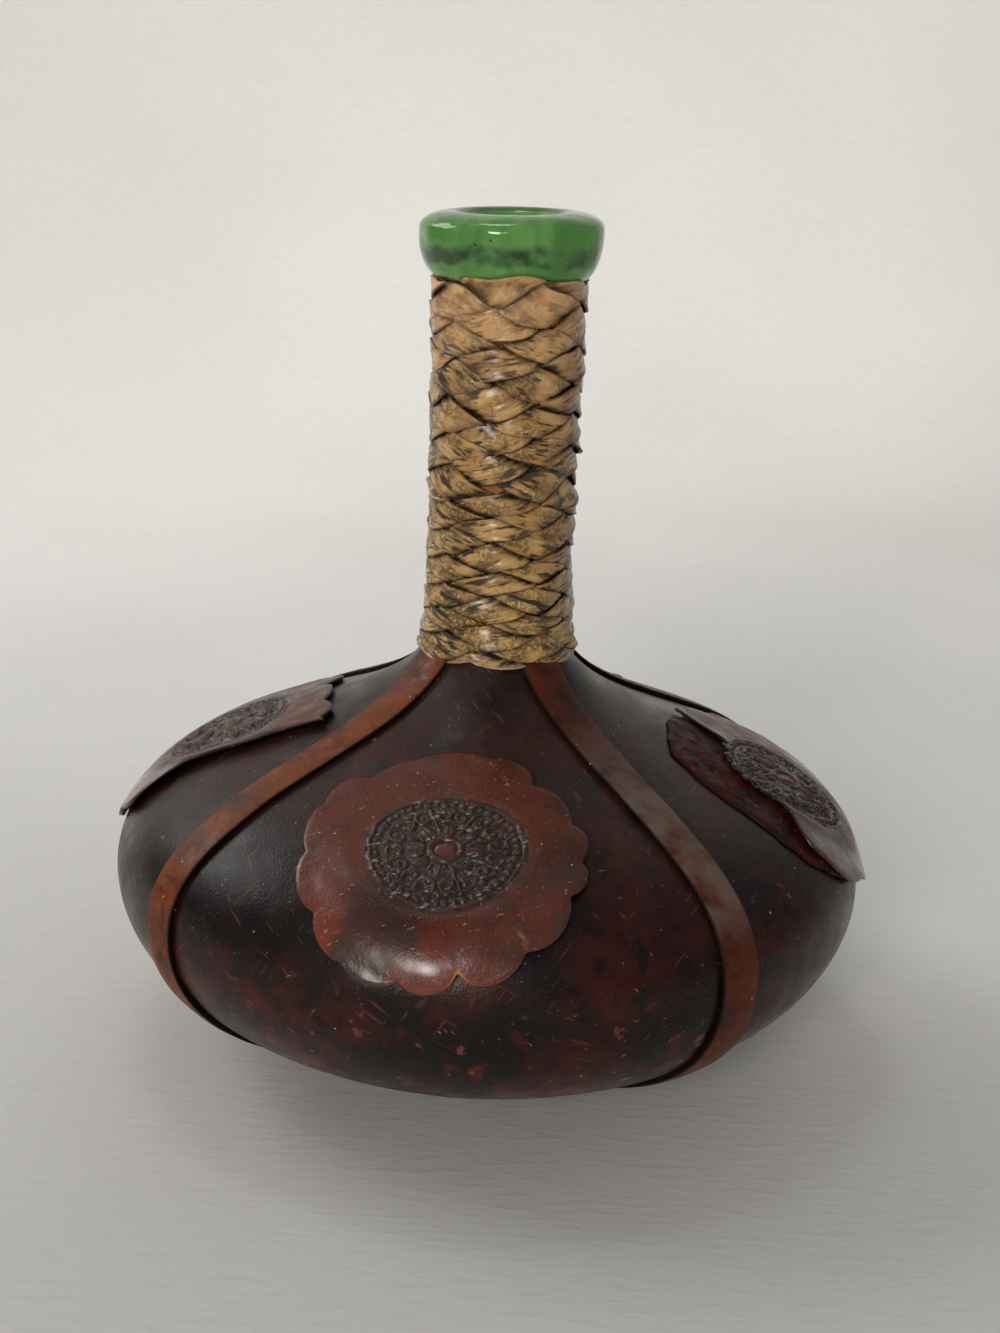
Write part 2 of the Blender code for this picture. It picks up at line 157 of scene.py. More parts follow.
class Outline:
    """The outer glass line from the standing ring to the neck's foot, measured along the glass."""

    def __init__(self):
        step = numpy.linspace(0, 1, 320)
        standing = STANDING_RADIUS / BODY_RADIUS
        half_height = (EQUATOR_HEIGHT - GLASS_BASE_HEIGHT) / math.sqrt(1 - standing ** 2)
        angle = math.acos(standing) * (1 - step)
        belly = numpy.stack([
            BODY_RADIUS * numpy.cos(angle),
            EQUATOR_HEIGHT - half_height * numpy.sin(angle),
            numpy.cos(angle) / BODY_RADIUS,
            -numpy.sin(angle) / half_height,
        ])
        step, rest = step[1:], 1 - step[1:]
        corners = numpy.array([
            (BODY_RADIUS, EQUATOR_HEIGHT),
            (BODY_RADIUS, EQUATOR_HEIGHT + BELLY_RISE),
            (NECK_FOOT_RADIUS, NECK_FOOT_HEIGHT - NECK_SWEEP),
            (NECK_FOOT_RADIUS, NECK_FOOT_HEIGHT),
        ])
        weights = numpy.stack([rest ** 3, 3 * rest ** 2 * step, 3 * rest * step ** 2, step ** 3])
        slopes = numpy.stack([rest ** 2, 2 * rest * step, step ** 2])
        point = corners.T @ weights
        slope = numpy.diff(corners, axis=0).T @ slopes
        shoulder = numpy.stack([point[0], point[1], slope[1], -slope[0]])
        self.radius, self.height, out, up = numpy.concatenate([belly, shoulder], axis=1)
        size = numpy.hypot(out, up)
        self.out, self.up = out / size, up / size
        runs = numpy.hypot(numpy.diff(self.radius), numpy.diff(self.height))
        self.length = numpy.concatenate([[0], numpy.cumsum(runs)])
        self.total = float(self.length[-1])

    def length_at_height(self, height, lift=0.0):
        """Length along the glass at which a surface that lies a lift off it reaches a height."""
        return interpolate(height, self.height + self.up * lift, self.length)

    def length_at_radius(self, radius):
        """Length along the glass, below the widest ring, at which it has a radius."""
        low = self.length <= self.length_at_height(EQUATOR_HEIGHT)
        return interpolate(radius, self.radius[low], self.length[low])

    def radius_at(self, length):
        return interpolate(length, self.length, self.radius)

    def radius_at_height(self, height, lift):
        """Radius at a height of a surface that lies a lift off the shoulder or the neck."""
        if height <= NECK_FOOT_HEIGHT:
            return interpolate(height, self.height + self.up * lift, self.radius + self.out * lift)
        share = (height - NECK_FOOT_HEIGHT) / (NECK_TOP_HEIGHT - NECK_FOOT_HEIGHT)
        return NECK_FOOT_RADIUS + (NECK_TOP_RADIUS - NECK_FOOT_RADIUS) * share + lift

    def place(self, length, azimuth, lift):
        """A point off the glass by its length along it, its azimuth and its lift.

        A length below 0 runs inwards under the base.
        """
        out, up = 0.0, -1.0
        if length >= 0:
            out, up = (interpolate(length, self.length, values) for values in (self.out, self.up))
        radius = self.radius_at(length) + min(length, 0.0) + out * lift
        return around(radius, interpolate(length, self.length, self.height) + up * lift, azimuth)


OUTLINE = Outline()


def around(radius, height, azimuth):
    """A point by its azimuth from the decanter's front, which grows towards +X."""
    turned = azimuth + FRONT_TURN
    return Vector((radius * math.sin(turned), -radius * math.cos(turned), height))


def clamp(value, low=0.0, high=1.0):
    return min(max(value, low), high)


def smooth(value, low, high):
    """0 below low, 1 above high, with a smooth step between."""
    share = clamp((value - low) / (high - low))
    return share * share * (3 - 2 * share)


def hump(value, middle, width):
    """A bell-shaped hump, 1 high at its middle."""
    return math.exp(-((value - middle) / width) ** 2)


def dome(*ratios):
    """A round dome, 1 high where every ratio is 0 and flat from where their squares add up to 1."""
    rest = 1.0
    for ratio in ratios:
        rest -= ratio ** 2
    return math.sqrt(max(0.0, rest))


def polar_point(radius, angle, height=0.0):
    return Vector((radius * math.cos(angle), radius * math.sin(angle), height))


def ripple(point, size, seed=0.0):
    """Smooth noise between about -1 and 1, with hills of a size."""
    return noise.noise(point / size + Vector((seed, seed * 1.7, seed * 0.6)))


# Meshes and objects

def sheet(columns, rows, place, marks=()):
    """A grid of columns by rows points; place(column share, row share) gives each point and its marks."""
    bm = bmesh.new()
    layers = [bm.verts.layers.float.new(name) for name in marks]
    bmesh.ops.create_grid(bm, x_segments=columns - 1, y_segments=rows - 1, size=1)
    for vert in bm.verts:
        vert.co, values = place((vert.co.x + 1) / 2, (vert.co.y + 1) / 2)
        for layer, value in zip(layers, values):
            vert[layer] = value
    return bm


def spun(outline, steps):
    """A line of (radius, height) points turned once about the bottle's axis."""
    bm = bmesh.new()
    verts = [bm.verts.new((radius, 0, height)) for radius, height in outline]
    edges = [bm.edges.new(pair) for pair in zip(verts, verts[1:])]
    bmesh.ops.spin(
        bm, geom=verts + edges, cent=(0, 0, 0), axis=(0, 0, 1), angle=2 * math.pi, steps=steps,
        use_merge=True,
    )
    bmesh.ops.remove_doubles(bm, verts=bm.verts, dist=WELD)
    bmesh.ops.recalc_face_normals(bm, faces=bm.faces)
    return bm


def new_piece(name, bm, material, node=None, sharp=40):
    """Put a bmesh into the scene as a shaded piece, which stands for a node of the frame if one is given."""
    mesh = bpy.data.meshes.new(name)
    bm.to_mesh(mesh)
    bm.free()
    mesh.materials.append(material)
    mesh.shade_smooth()
    mesh.set_sharp_from_angle(angle=math.radians(sharp))
    piece = bpy.data.objects.new(name, mesh)
    bpy.context.scene.collection.objects.link(piece)
    if node:
        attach(piece, "root")
        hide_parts(node)
    return piece


def thicken(piece, thickness, offset, group=None, thinnest=0.0):
    """Give a sheet its leather thickness, thinner where its vertex group is light."""
    shell = piece.modifiers.new("Leather", "SOLIDIFY")
    shell.thickness = thickness
    shell.offset = offset
    shell.use_even_offset = True
    if group:
        shell.vertex_group = group
        shell.thickness_vertex_group = thinnest


def soften(piece, width, segments):
    """Round the cut edges of a piece of leather."""
    bevel = piece.modifiers.new("Worn edge", "BEVEL")
    bevel.width = width
    bevel.segments = segments
    bevel.limit_method = "ANGLE"
    bevel.angle_limit = math.radians(50)


# Materials

def colour(code):
    """An sRGB hex code as a linear colour."""
    values = [int(code[start:start + 2], 16) / 255 for start in (1, 3, 5)]
    return (*[v / 12.92 if v <= 0.04045 else ((v + 0.055) / 1.055) ** 2.4 for v in values], 1.0)


def add_node(tree, kind, inputs=None, **settings):
    """Add a node with its settings, and set its inputs or link them to other nodes."""
    node = tree.nodes.new(kind)
    for name, value in settings.items():
        setattr(node, name, value)
    for key, value in (inputs or {}).items():
        if isinstance(value, bpy.types.NodeSocket):
            tree.links.new(value, node.inputs[key])
        else:
            node.inputs[key].default_value = value
    return node


class Surface:
    """A material under construction: its shader, the colour laid so far, and patterns that leathers share.

    Patterns are masks between 0 and 1. Their sizes are in mm, and a seed moves a pattern elsewhere.
    """

    def __init__(self, name, ground, **constants):
        self.material = bpy.data.materials.new(name)
        self.material.use_nodes = True
        self.tree = self.material.node_tree
        self.shader = self.tree.nodes["Principled BSDF"]
        self.place = self.add("ShaderNodeTexCoord").outputs["Object"]
        self.base = self.tint(ground)
        for key, value in constants.items():
            self.shader.inputs[key.replace("_", " ")].default_value = value

    def add(self, kind, inputs=None, **settings):
        return add_node(self.tree, kind, inputs, **settings)

    def tint(self, value):
        """A hex code or one of the user's colours as a linear colour."""
        return colour(value) if isinstance(value, str) else tuple(value)

    def lay(self, where, tint, share=None):
        """Lay a tint over the colour so far where a mask is light, or over a share of it."""
        if share is not None:
            where = self.times(where, share)
        mixed = self.add("ShaderNodeMix", {0: where, 6: self.base, 7: self.tint(tint)}, data_type="RGBA")
        self.base = mixed.outputs[2]

    def math(self, kind, first, *others):
        """Values joined one after the other by one operation."""
        for other in others:
            first = self.add("ShaderNodeMath", {0: first, 1: other}, operation=kind).outputs[0]
        return first

    def times(self, *values):
        return self.math("MULTIPLY", *values)

    def plus(self, *values):
        return self.math("ADD", *values)

    def either(self, *masks):
        return self.math("MAXIMUM", *masks)

    def vector(self, kind, *values):
        """A node that joins vectors by one operation."""
        return self.add("ShaderNodeVectorMath", dict(enumerate(values)), operation=kind)

    def between(self, value, low, high, start=0.0, end=1.0):
        """A value that goes from start at low to end at high."""
        reach = {"Value": value, "From Min": low, "From Max": high, "To Min": start, "To Max": end}
        return self.add("ShaderNodeMapRange", reach).outputs[0]

    def height(self):
        """Height above the ground in metres."""
        return self.add("ShaderNodeSeparateXYZ", {"Vector": self.place}).outputs["Z"]

    def by_height(self, dark, light):
        """A mask that grows from one height to another, both in metres."""
        return self.between(self.height(), dark, light)

    def mark(self, name):
        """A float attribute that the piece's mesh carries."""
        return self.add("ShaderNodeAttribute", attribute_name=name).outputs["Fac"]

    def moved(self, seed, source=None, **settings):
        """The place on the piece, moved by a seed so that patterns differ."""
        inputs = {"Vector": source or self.place, "Location": (seed, seed, seed), **settings}
        return self.add("ShaderNodeMapping", inputs).outputs[0]

    def grain(self, size, detail, source=None):
        """Noise with patches of a size."""
        inputs = {"Vector": source or self.place, "Scale": 1 / MM / size, "Detail": detail}
        return self.add("ShaderNodeTexNoise", inputs).outputs["Fac"]

    def cells(self, size, source=None, **settings):
        """A node of cells of a size."""
        inputs = {"Vector": source or self.place, "Scale": 1 / MM / size}
        return self.add("ShaderNodeTexVoronoi", inputs, **settings)

    def cloud(self, size, low, high, detail=4.0, seed=0.0, stretch=(1, 1, 1), source=None):
        """A soft mask: noise with patches of a size, 0 below low and 1 above high."""
        grain = self.grain(size, detail, self.moved(seed, source, Scale=stretch))
        reach = {"Value": grain, "From Min": low, "From Max": high}
        return self.add("ShaderNodeMapRange", reach, interpolation_type="SMOOTHSTEP").outputs[0]

    def patchy(self, size, low, high):
        """Roughness between two values, in patches of a size."""
        return self.between(self.cloud(size, 0.3, 0.7, seed=6.0), 0, 1, low, high)

    def dust(self, spacing, speck, seed=0.0):
        """Sparse specks of dust, a spacing apart and a speck across."""
        cells = self.cells(spacing, self.moved(seed))
        near = self.between(cells.outputs["Distance"], speck / spacing, speck / spacing * 0.5)
        lucky = self.add("ShaderNodeSeparateColor", {"Color": cells.outputs["Color"]}).outputs[0]
        return self.times(near, self.between(lucky, 0.62, 0.66))

    def strokes(self, length, width, lean, low, seed=0.0):
        """Short strokes of a length and a width that lean from level by an angle; low sets how few."""
        scale = (1 / MM / length, 1 / MM / length, 1 / MM / width)
        place = self.vector("MULTIPLY", self.moved(seed, Rotation=(lean * 0.5, lean, 0)), scale)
        return self.between(self.grain(1 / MM, 1.5, place.outputs[0]), low, low + 0.03)

    def lint(self, low, seed):
        """Short hairs that lean two ways; low sets how few."""
        rising = self.strokes(2.6, 0.5, 0.4, low, seed)
        return self.either(rising, self.strokes(2.2, 0.5, -0.7, low, seed + 1))

    def cracks(self, spacing, width, seed=0.0):
        """Fine broken lines, a spacing apart and a width across."""
        inputs = {"Vector": self.place, "Scale": 2 / MM / spacing, "Detail": 3.0}
        shift = self.add("ShaderNodeTexNoise", inputs).outputs["Color"]
        bent = self.vector("MULTIPLY_ADD", shift, (4 * MM, 4 * MM, 4 * MM), self.place)
        cells = self.cells(spacing, bent.outputs[0], feature="DISTANCE_TO_EDGE")
        line = self.between(cells.outputs["Distance"], width / spacing, width / spacing * 0.3)
        return self.times(line, self.cloud(spacing * 1.6, 0.50, 0.62, seed=seed))

    def bump(self, level, strength, depth):
        """Normals of a surface whose level goes up and down by a depth in metres."""
        inputs = {"Height": level, "Strength": strength, "Distance": depth}
        return self.add("ShaderNodeBump", inputs).outputs[0]

    def pores(self, pore, depth, wrinkle, *heights):
        """Bump from leather's pebbled pores, with wider wrinkles and any other heights laid over it."""
        cells = self.cells(pore)
        level = self.math("SUBTRACT", self.times(self.grain(pore / 2.4, 3.0), 0.5), cells.outputs["Distance"])
        return self.bump(self.plus(level, self.times(self.grain(wrinkle, 5.0), 3.0), *heights), 1.0, depth)

    def finish(self, **sources):
        """Link the colour and other sources to the shader's inputs of their names."""
        self.tree.links.new(self.base, self.shader.inputs["Base Color"])
        for key, source in sources.items():
            self.tree.links.new(source, self.shader.inputs[key.replace("_", " ")])
        return self.material


def glass_material(tints):
    """Bottle glass, blown and tooled by hand: green and clouded, with slow waves and seeds.

    A string of dark glass is laid on under the lip, and shade is painted on the glass just inside the mouth's
    rim.
    """
    glass = Surface("blown_bottle_glass", tints.glass_light, IOR=1.52, Roughness=0.09,
                    Transmission_Weight=0.45)
    glass.lay(glass.cloud(9, 0.35, 0.65, seed=4.0, stretch=(1, 1, 0.2)), tints.glass_deep)
    waves = glass.grain(9, 2.0)
    level = glass.plus(glass.height(), glass.times(waves, 0.006))
    string = glass.times(
        glass.between(level, *STRING_FOOT_HEIGHTS), glass.between(level, *STRING_TOP_HEIGHTS),
        glass.cloud(7, 0.30, 0.60, detail=3.0, seed=6.0),
    )
    glass.lay(string, "#183C12", 0.9)
    # Painted shade on the glass just inside the mouth's rim
    flat = glass.vector("MULTIPLY", glass.place, (1, 1, 0))
    out = glass.vector("LENGTH", flat.outputs[0]).outputs["Value"]
    mouth = glass.times(
        glass.between(out, *MOUTH_SHADE_INNER_RADII), glass.between(out, *MOUTH_SHADE_OUTER_RADII),
        glass.by_height(*MOUTH_SHADE_HEIGHTS),
    )
    glass.lay(mouth, "#1F4A18", 0.8)
    glass.lay(glass.dust(3.4, 0.42, seed=2.0), "#1E3A1C")
    return glass.finish(Normal=glass.bump(waves, 0.7, 0.0008))


def gore_material(tints):
    """Calf dyed burgundy over black and waxed: dark, with red worn through, a grey cast on the upper shoulder
    that is partly a painted sheen, and a soft gloss.
    """
    hide = Surface("waxed_burgundy_calf", tints.gore_dark, IOR=1.5, Specular_IOR_Level=0.26)
    hide.lay(hide.cloud(30, 0.42, 0.60, detail=5.0, seed=1.0), tints.gore_red)
    hide.lay(hide.cloud(5, 0.45, 0.75, detail=7.0, seed=2.0), "#0D0808")
    low = hide.by_height(0.060, 0.020)
    hide.lay(hide.times(hide.cloud(13, 0.55, 0.66, detail=8.0, seed=5.0), low), "#5E1A14")
    # Grey cast on the upper shoulder, partly a painted sheen of the room's light; it also dulls the gloss
    # there
    haze_and_sheen = hide.times(hide.cloud(22, 0.30, 0.75, seed=9.0), hide.by_height(0.066, 0.108))
    hide.lay(haze_and_sheen, "#3A2A28")
    hide.lay(hide.times(hide.cloud(4.5, 0.63, 0.70, detail=9.0, seed=12.0), low), "#8A4B42")
    scratches = hide.either(hide.strokes(11, 0.9, 0.9, 0.70, 3.0), hide.strokes(9, 0.8, -0.5, 0.70, 6.0))
    hide.lay(scratches, "#6E3A30", 0.45)
    hide.lay(hide.lint(0.75, 1.0), "#A2978A", 0.5)
    hide.lay(hide.dust(6.5, 0.36), "#B9AEA2", 0.8)
    rough = hide.plus(hide.patchy(9, 0.26, 0.40), hide.times(haze_and_sheen, 0.12))
    return hide.finish(Roughness=rough, Normal=hide.pores(0.7, 0.00004, 5.0))


def strap_material(tints):
    """Vegetable-tanned strap, waxed brown and handled: orange-brown with darkened edges and dirt, and a
    painted sheen on the upper part of the darker straps.
    """
    hide = Surface("waxed_brown_strap_leather", tints.strap, IOR=1.5, Specular_IOR_Level=0.18)
    hide.lay(hide.cloud(12, 0.35, 0.70, seed=1.0), tints.strap_dark)
    hide.lay(hide.cloud(3, 0.50, 0.85, detail=6.0, seed=2.0), "#8A5730")
    hide.lay(hide.mark("dyed"), "#35170F", 0.85)
    hide.lay(hide.by_height(0.062, 0.030), "#6A2C16", 0.55)
    hide.lay(hide.cloud(2.4, 0.50, 0.76, detail=9.0, seed=12.0), "#2A1810", 0.65)
    hide.lay(hide.cloud(17, 0.56, 0.68, detail=7.0, seed=7.0), "#2B1A12")
    # Painted sheen of the window on the upper part of the darker-dyed straps
    painted_sheen = hide.times(hide.by_height(0.060, 0.070), hide.by_height(0.098, 0.086), hide.mark("dyed"),
                       hide.cloud(8, 0.25, 0.6, seed=9.0))
    hide.lay(painted_sheen, "#6E5E54")
    # Darker along both cut edges of the strap
    hide.lay(hide.between(hide.mark("edge"), 0.35, 0.95), "#160D0A")
    hide.lay(hide.dust(3.6, 0.30, seed=1.0), "#C4AE92")
    return hide.finish(Roughness=hide.patchy(7, 0.36, 0.55), Normal=hide.pores(0.6, 0.00003, 3.0))


def medallion_material(tints):
    """Tooled and antiqued calf: red-brown, black left in the tooling, raw orange where it is torn."""
    hide = Surface("antiqued_tooled_calf", tints.medallion, IOR=1.5, Specular_IOR_Level=0.26,
                   Coat_Roughness=0.24)
    hide.lay(hide.cloud(24, 0.40, 0.62, seed=3.0), tints.medallion_dark)
    hide.lay(hide.cloud(4, 0.50, 0.85, detail=7.0, seed=2.0), "#33201A")
    hide.lay(hide.cloud(1.4, 0.50, 0.78, detail=9.0, seed=15.0), "#26140F", 0.6)
    hide.lay(hide.times(hide.by_height(0.078, 0.058), hide.cloud(20, 0.42, 0.60, seed=8.0)), "#7A2A14")
    tooled = hide.mark("tooled")
    hide.lay(tooled, "#3A261C", 0.75)
    left = hide.between(hide.cloud(7, 0.35, 0.65, detail=5.0, seed=14.0), 0, 1, 0.45, 0.95)
    hide.lay(hide.times(hide.mark("recess"), left), tints.recess)
    hide.lay(hide.times(hide.strokes(4, 0.8, 0.25, 0.67, seed=9.0), tooled), "#8C7C70", 0.75)
    hide.lay(hide.mark("boss"), "#5E2A20")
    # Dark cut rim, and painted shade in the groove round the rosette
    hide.lay(hide.between(hide.mark("edge"), 0.4, 1.0), "#1B100D")
    hide.lay(hide.lint(0.71, 4.0), "#A08C7C", 0.55)
    hide.lay(hide.strokes(7, 0.6, 0.35, 0.71, seed=7.0), "#8A6650", 0.35)
    hide.lay(hide.mark("raw"), tints.raw)
    hide.lay(hide.dust(3.8, 0.32, seed=3.0), "#C2B6A8")
    rough = hide.plus(hide.patchy(6, 0.30, 0.48), hide.times(tooled, 0.15))
    coat = hide.between(hide.mark("waxed"), 0, 1, 0.08, 0.95)
    return hide.finish(Roughness=rough, Normal=hide.pores(0.9, 0.00009, 9.0), Coat_Weight=coat)


def torn_material():
    """Split leather, torn open and stained: dark red, fibrous and dull."""
    hide = Surface("torn_red_split", "#42100A", IOR=1.45, Specular_IOR_Level=0.20)
    hide.lay(hide.cloud(6, 0.35, 0.65, detail=8.0, seed=3.0), "#180806")
    hide.lay(hide.cloud(1.6, 0.55, 0.75, detail=6.0, seed=5.0), "#7A2A1C")
    hide.lay(hide.between(hide.mark("edge"), 0.3, 1.0), "#120907")
    return hide.finish(Roughness=hide.patchy(4, 0.45, 0.75), Normal=hide.pores(0.8, 0.00012, 3.0))


def sleeve_material(tints):
    """Undyed flesh side of the neck's lining: orange and fibrous, browned by glue."""
    hide = Surface("raw_orange_split", tints.sleeve, IOR=1.45)
    hide.lay(hide.cloud(3, 0.35, 0.65, detail=7.0, seed=3.0), "#3A1A0E")
    return hide.finish(Roughness=hide.patchy(2, 0.55, 0.80), Normal=hide.pores(0.5, 0.0001, 2.0))


def base_material(tints):
    """Thick sole leather under the bottle: near black, scuffed matt by the table."""
    hide = Surface("scuffed_sole_leather", tints.base, IOR=1.5)
    hide.lay(hide.cloud(14, 0.40, 0.66, seed=1.0), "#140C0A")
    hide.lay(hide.cracks(8, 0.3, seed=2.0), "#5B4436", 0.6)
    return hide.finish(Roughness=hide.patchy(5, 0.50, 0.75), Normal=hide.pores(0.8, 0.00006, 4.0))


def lace_material(tints):
    """Tan calf lace, cut from the hide and plaited dry: pale grain, fibres along it, dirt and painted shade
    in every fold and along the edges.
    """
    hide = Surface("plaited_tan_calf_lace", tints.lace_brown, IOR=1.5, Specular_IOR_Level=0.36,
                   Coat_Weight=0.48, Coat_Roughness=0.20)
    grain = hide.add("ShaderNodeAttribute", attribute_name="grain").outputs["Vector"]
    along = {"source": grain, "stretch": (0.3, 1, 1)}
    hide.lay(hide.mark("tone"), tints.lace)
    hide.lay(hide.cloud(3, 0.42, 0.72, detail=7.0, seed=2.0, **along), "#D8B27A")
    low, high = hide.by_height(0.175, 0.118), hide.by_height(0.186, 0.200)
    # Golden tone towards the plait's foot, partly a painted sheen of the window light
    hide.lay(low, "#CDA660", 0.55)
    hide.lay(high, "#E4B47C", 0.75)
    hide.lay(hide.cloud(6, 0.45, 0.75, detail=7.0, seed=5.0), "#7A5530", 0.6)
    # Painted shade where a lace dives under its neighbours and along its edges, broken up by a fringe of
    # noise
    fringe = hide.times(hide.cloud(1.8, 0.2, 0.8, detail=9.0, seed=31.0, **along), 0.5)
    dark, rim = hide.plus(hide.mark("fold"), fringe), hide.plus(hide.mark("edge"), fringe)
    hide.lay(hide.either(hide.between(dark, 0.75, 1.25), hide.between(rim, 0.6, 1.4)), "#5A3D20", 0.75)
    patches = hide.times(hide.cloud(6, 0.40, 0.62, detail=5.0, seed=8.0), hide.between(low, 0, 1, 0.7, 1.0))
    pitted = hide.times(hide.cloud(0.9, 0.45, 0.53, detail=7.0, seed=4.0), patches)
    smear = hide.times(hide.cloud(1.3, 0.49, 0.56, detail=9.0, seed=21.0, **along),
                       hide.cloud(7, 0.44, 0.58, seed=17.0))
    blots = hide.cloud(3.4, 0.57, 0.65, detail=9.0, seed=13.0, source=grain, stretch=(0.5, 1, 1))
    # Dirt in spots and smears, with painted shade gone black in the deepest folds and along the edges
    grime_and_shade = hide.either(hide.times(pitted, 0.75), hide.times(smear, 0.9), hide.between(dark, 1.06, 1.30),
                        hide.either(blots, hide.between(rim, 1.15, 1.5)))
    hide.lay(hide.times(grime_and_shade, hide.between(high, 0, 1, 0.95, 0.5)), tints.grime_and_shade)
    # Painted highlight along the rolled foot, and one pale spot
    hide.lay(hide.mark("pale"), "#B09676", 0.7)
    rough = hide.math("SUBTRACT", hide.patchy(4, 0.30, 0.46), hide.times(low, 0.08))
    rough = hide.plus(rough, hide.times(grime_and_shade, 0.2))
    fibres = hide.cloud(0.7, 0.2, 0.8, seed=3.0, source=grain, stretch=(0.15, 1, 1))
    bump = hide.pores(0.55, 0.00009, 2.2, hide.times(pitted, -1.8), hide.times(fibres, 1.6))
    return hide.finish(Roughness=rough, Normal=bump)


def floor_material(tints):
    """Pale cotton cloth, ironed flat: grey-white and dull, with the slubs of its yarn."""
    cloth = Surface("pale_cotton_cloth", tints.floor, IOR=1.45)
    patches = cloth.cloud(300, 0.3, 0.7, detail=2.0)
    cloth.lay(patches, "#DEDDD9")
    slubs = cloth.cloud(3.0, 0.45, 0.75, detail=6.0, stretch=(0.3, 1, 1))
    cloth.lay(slubs, "#BDBCB6", 0.10)
    rough = cloth.between(patches, 0, 1, 0.85, 0.95)
    return cloth.finish(Roughness=rough, Normal=cloth.bump(slubs, 0.3, 0.0002))


# Glass, base and sleeve

def arc(start, end, steps, point):
    """Points along an arc, from one angle to another in quarter turns."""
    angles = [math.pi / 2 * (start + (end - start) * step / steps) for step in range(steps + 1)]
    return [point(math.sin(angle), math.cos(angle)) for angle in angles]


def glass_wall():
    """The bottle's wall as (radius, height) points: up the inside, over the lip and down the outside."""
    shares = numpy.linspace(0, 1, 12)
    dome_line = [(float(PUNT_RADIUS * s), float(PUNT_HEIGHT * math.cos(math.pi / 2 * s))) for s in shares]
    inside = [(radius, GLASS_BASE_HEIGHT + GLASS_WALL + height) for radius, height in dome_line]
    line = OUTLINE
    for index in range(0, len(line.length), 8):
        inside.append((
            float(line.radius[index] - line.out[index] * GLASS_WALL),
            float(line.height[index] - line.up[index] * GLASS_WALL),
        ))
    curl = LIP_RADIUS - LIP_CURL_WIDTH
    to_mouth, to_side = LIP_CREST_RADIUS - BORE_RADIUS, LIP_RADIUS - LIP_CREST_RADIUS
    lip = [(BORE_RADIUS, NECK_TOP_HEIGHT)]
    lip += arc(-1, 0, 10, lambda sine, cosine: (
        LIP_CREST_RADIUS + to_mouth * sine, BOTTLE_HEIGHT - LIP_MOUTH_FALL * (1 - cosine)))
    lip += arc(0, 1, 14, lambda sine, cosine: (
        LIP_CREST_RADIUS + to_side * sine, BOTTLE_HEIGHT - LIP_CREST_FALL * (1 - cosine)))
    lip += arc(0, 1, 10, lambda sine, cosine: (
        curl + LIP_CURL_WIDTH * cosine, NECK_TOP_HEIGHT + LIP_CURL_HEIGHT * (1 - sine)))
    lip.append((NECK_TOP_RADIUS, NECK_TOP_HEIGHT))
    last = len(line.length) - 1
    outside = [(float(line.radius[index]), float(line.height[index])) for index in range(last, -1, -6)]
    underside = [(radius, GLASS_BASE_HEIGHT + height) for radius, height in dome_line[::-1]]
    return inside + lip + outside + underside


def build_bottle(context):
    """The hand-finished bottle, a little out of round where the lip was tooled."""
    bm = spun(glass_wall(), 144)
    for vert in bm.verts:
        lip = smooth(vert.co.z, NECK_TOP_HEIGHT, BOTTLE_HEIGHT - LIP_EASE)
        wobble = ripple(vert.co, 0.022, 3.0) * LIP_WOBBLE * lip
        radius = math.hypot(vert.co.x, vert.co.y)
        if radius > LIP_TRUE_RADIUS:
            vert.co.x *= 1 + wobble / radius
            vert.co.y *= 1 + wobble / radius
        vert.co.z -= lip * LIP_TILT_SHARE * (LIP_RADIUS - vert.co.x)
    material = glass_material(context.scene.decanter_colours)
    new_piece("glass_bottle_blown", bm, material, "glass_bottle")


def build_base(context):
    """The disc of sole leather that the coat is glued to."""
    bm = bmesh.new()
    bmesh.ops.create_cone(
        bm, cap_ends=True, segments=160, radius1=BASE_RADIUS, radius2=BASE_RADIUS, depth=BASE_LEATHER,
    )
    rims = [edge for edge in bm.edges if abs(edge.verts[0].co.z - edge.verts[1].co.z) < WELD]
    bmesh.ops.bevel(
        bm, geom=rims, offset=BASE_ROUNDING, segments=3, profile=0.5, affect="EDGES", material=-1,
    )
    bmesh.ops.translate(bm, verts=bm.verts, vec=(0, 0, BASE_LEATHER / 2))
    material = base_material(context.scene.decanter_colours)
    new_piece("base_disc", bm, material, "base_leather")


def build_sleeve(context):
    """The raw lining around the neck, seen only through gaps in the plait."""
    ends = NECK_FOOT_HEIGHT + SLEEVE_END_GAP, NECK_TOP_HEIGHT - SLEEVE_END_GAP
    radii = [OUTLINE.radius_at_height(height, SLEEVE_LIFT) for height in ends]
    inner = [
        (float(radii[0] + (radii[1] - radii[0]) * share), float(ends[0] + (ends[1] - ends[0]) * share))
        for share in numpy.linspace(0, 1, 40)
    ]
    outer = [(radius + SLEEVE_LEATHER, height) for radius, height in inner]
    bm = spun(outer + inner[::-1] + outer[:1], 96)
    material = sleeve_material(context.scene.decanter_colours)
    new_piece("neck_lining", bm, material, "neck_sleeve")


# The coat's gores and straps

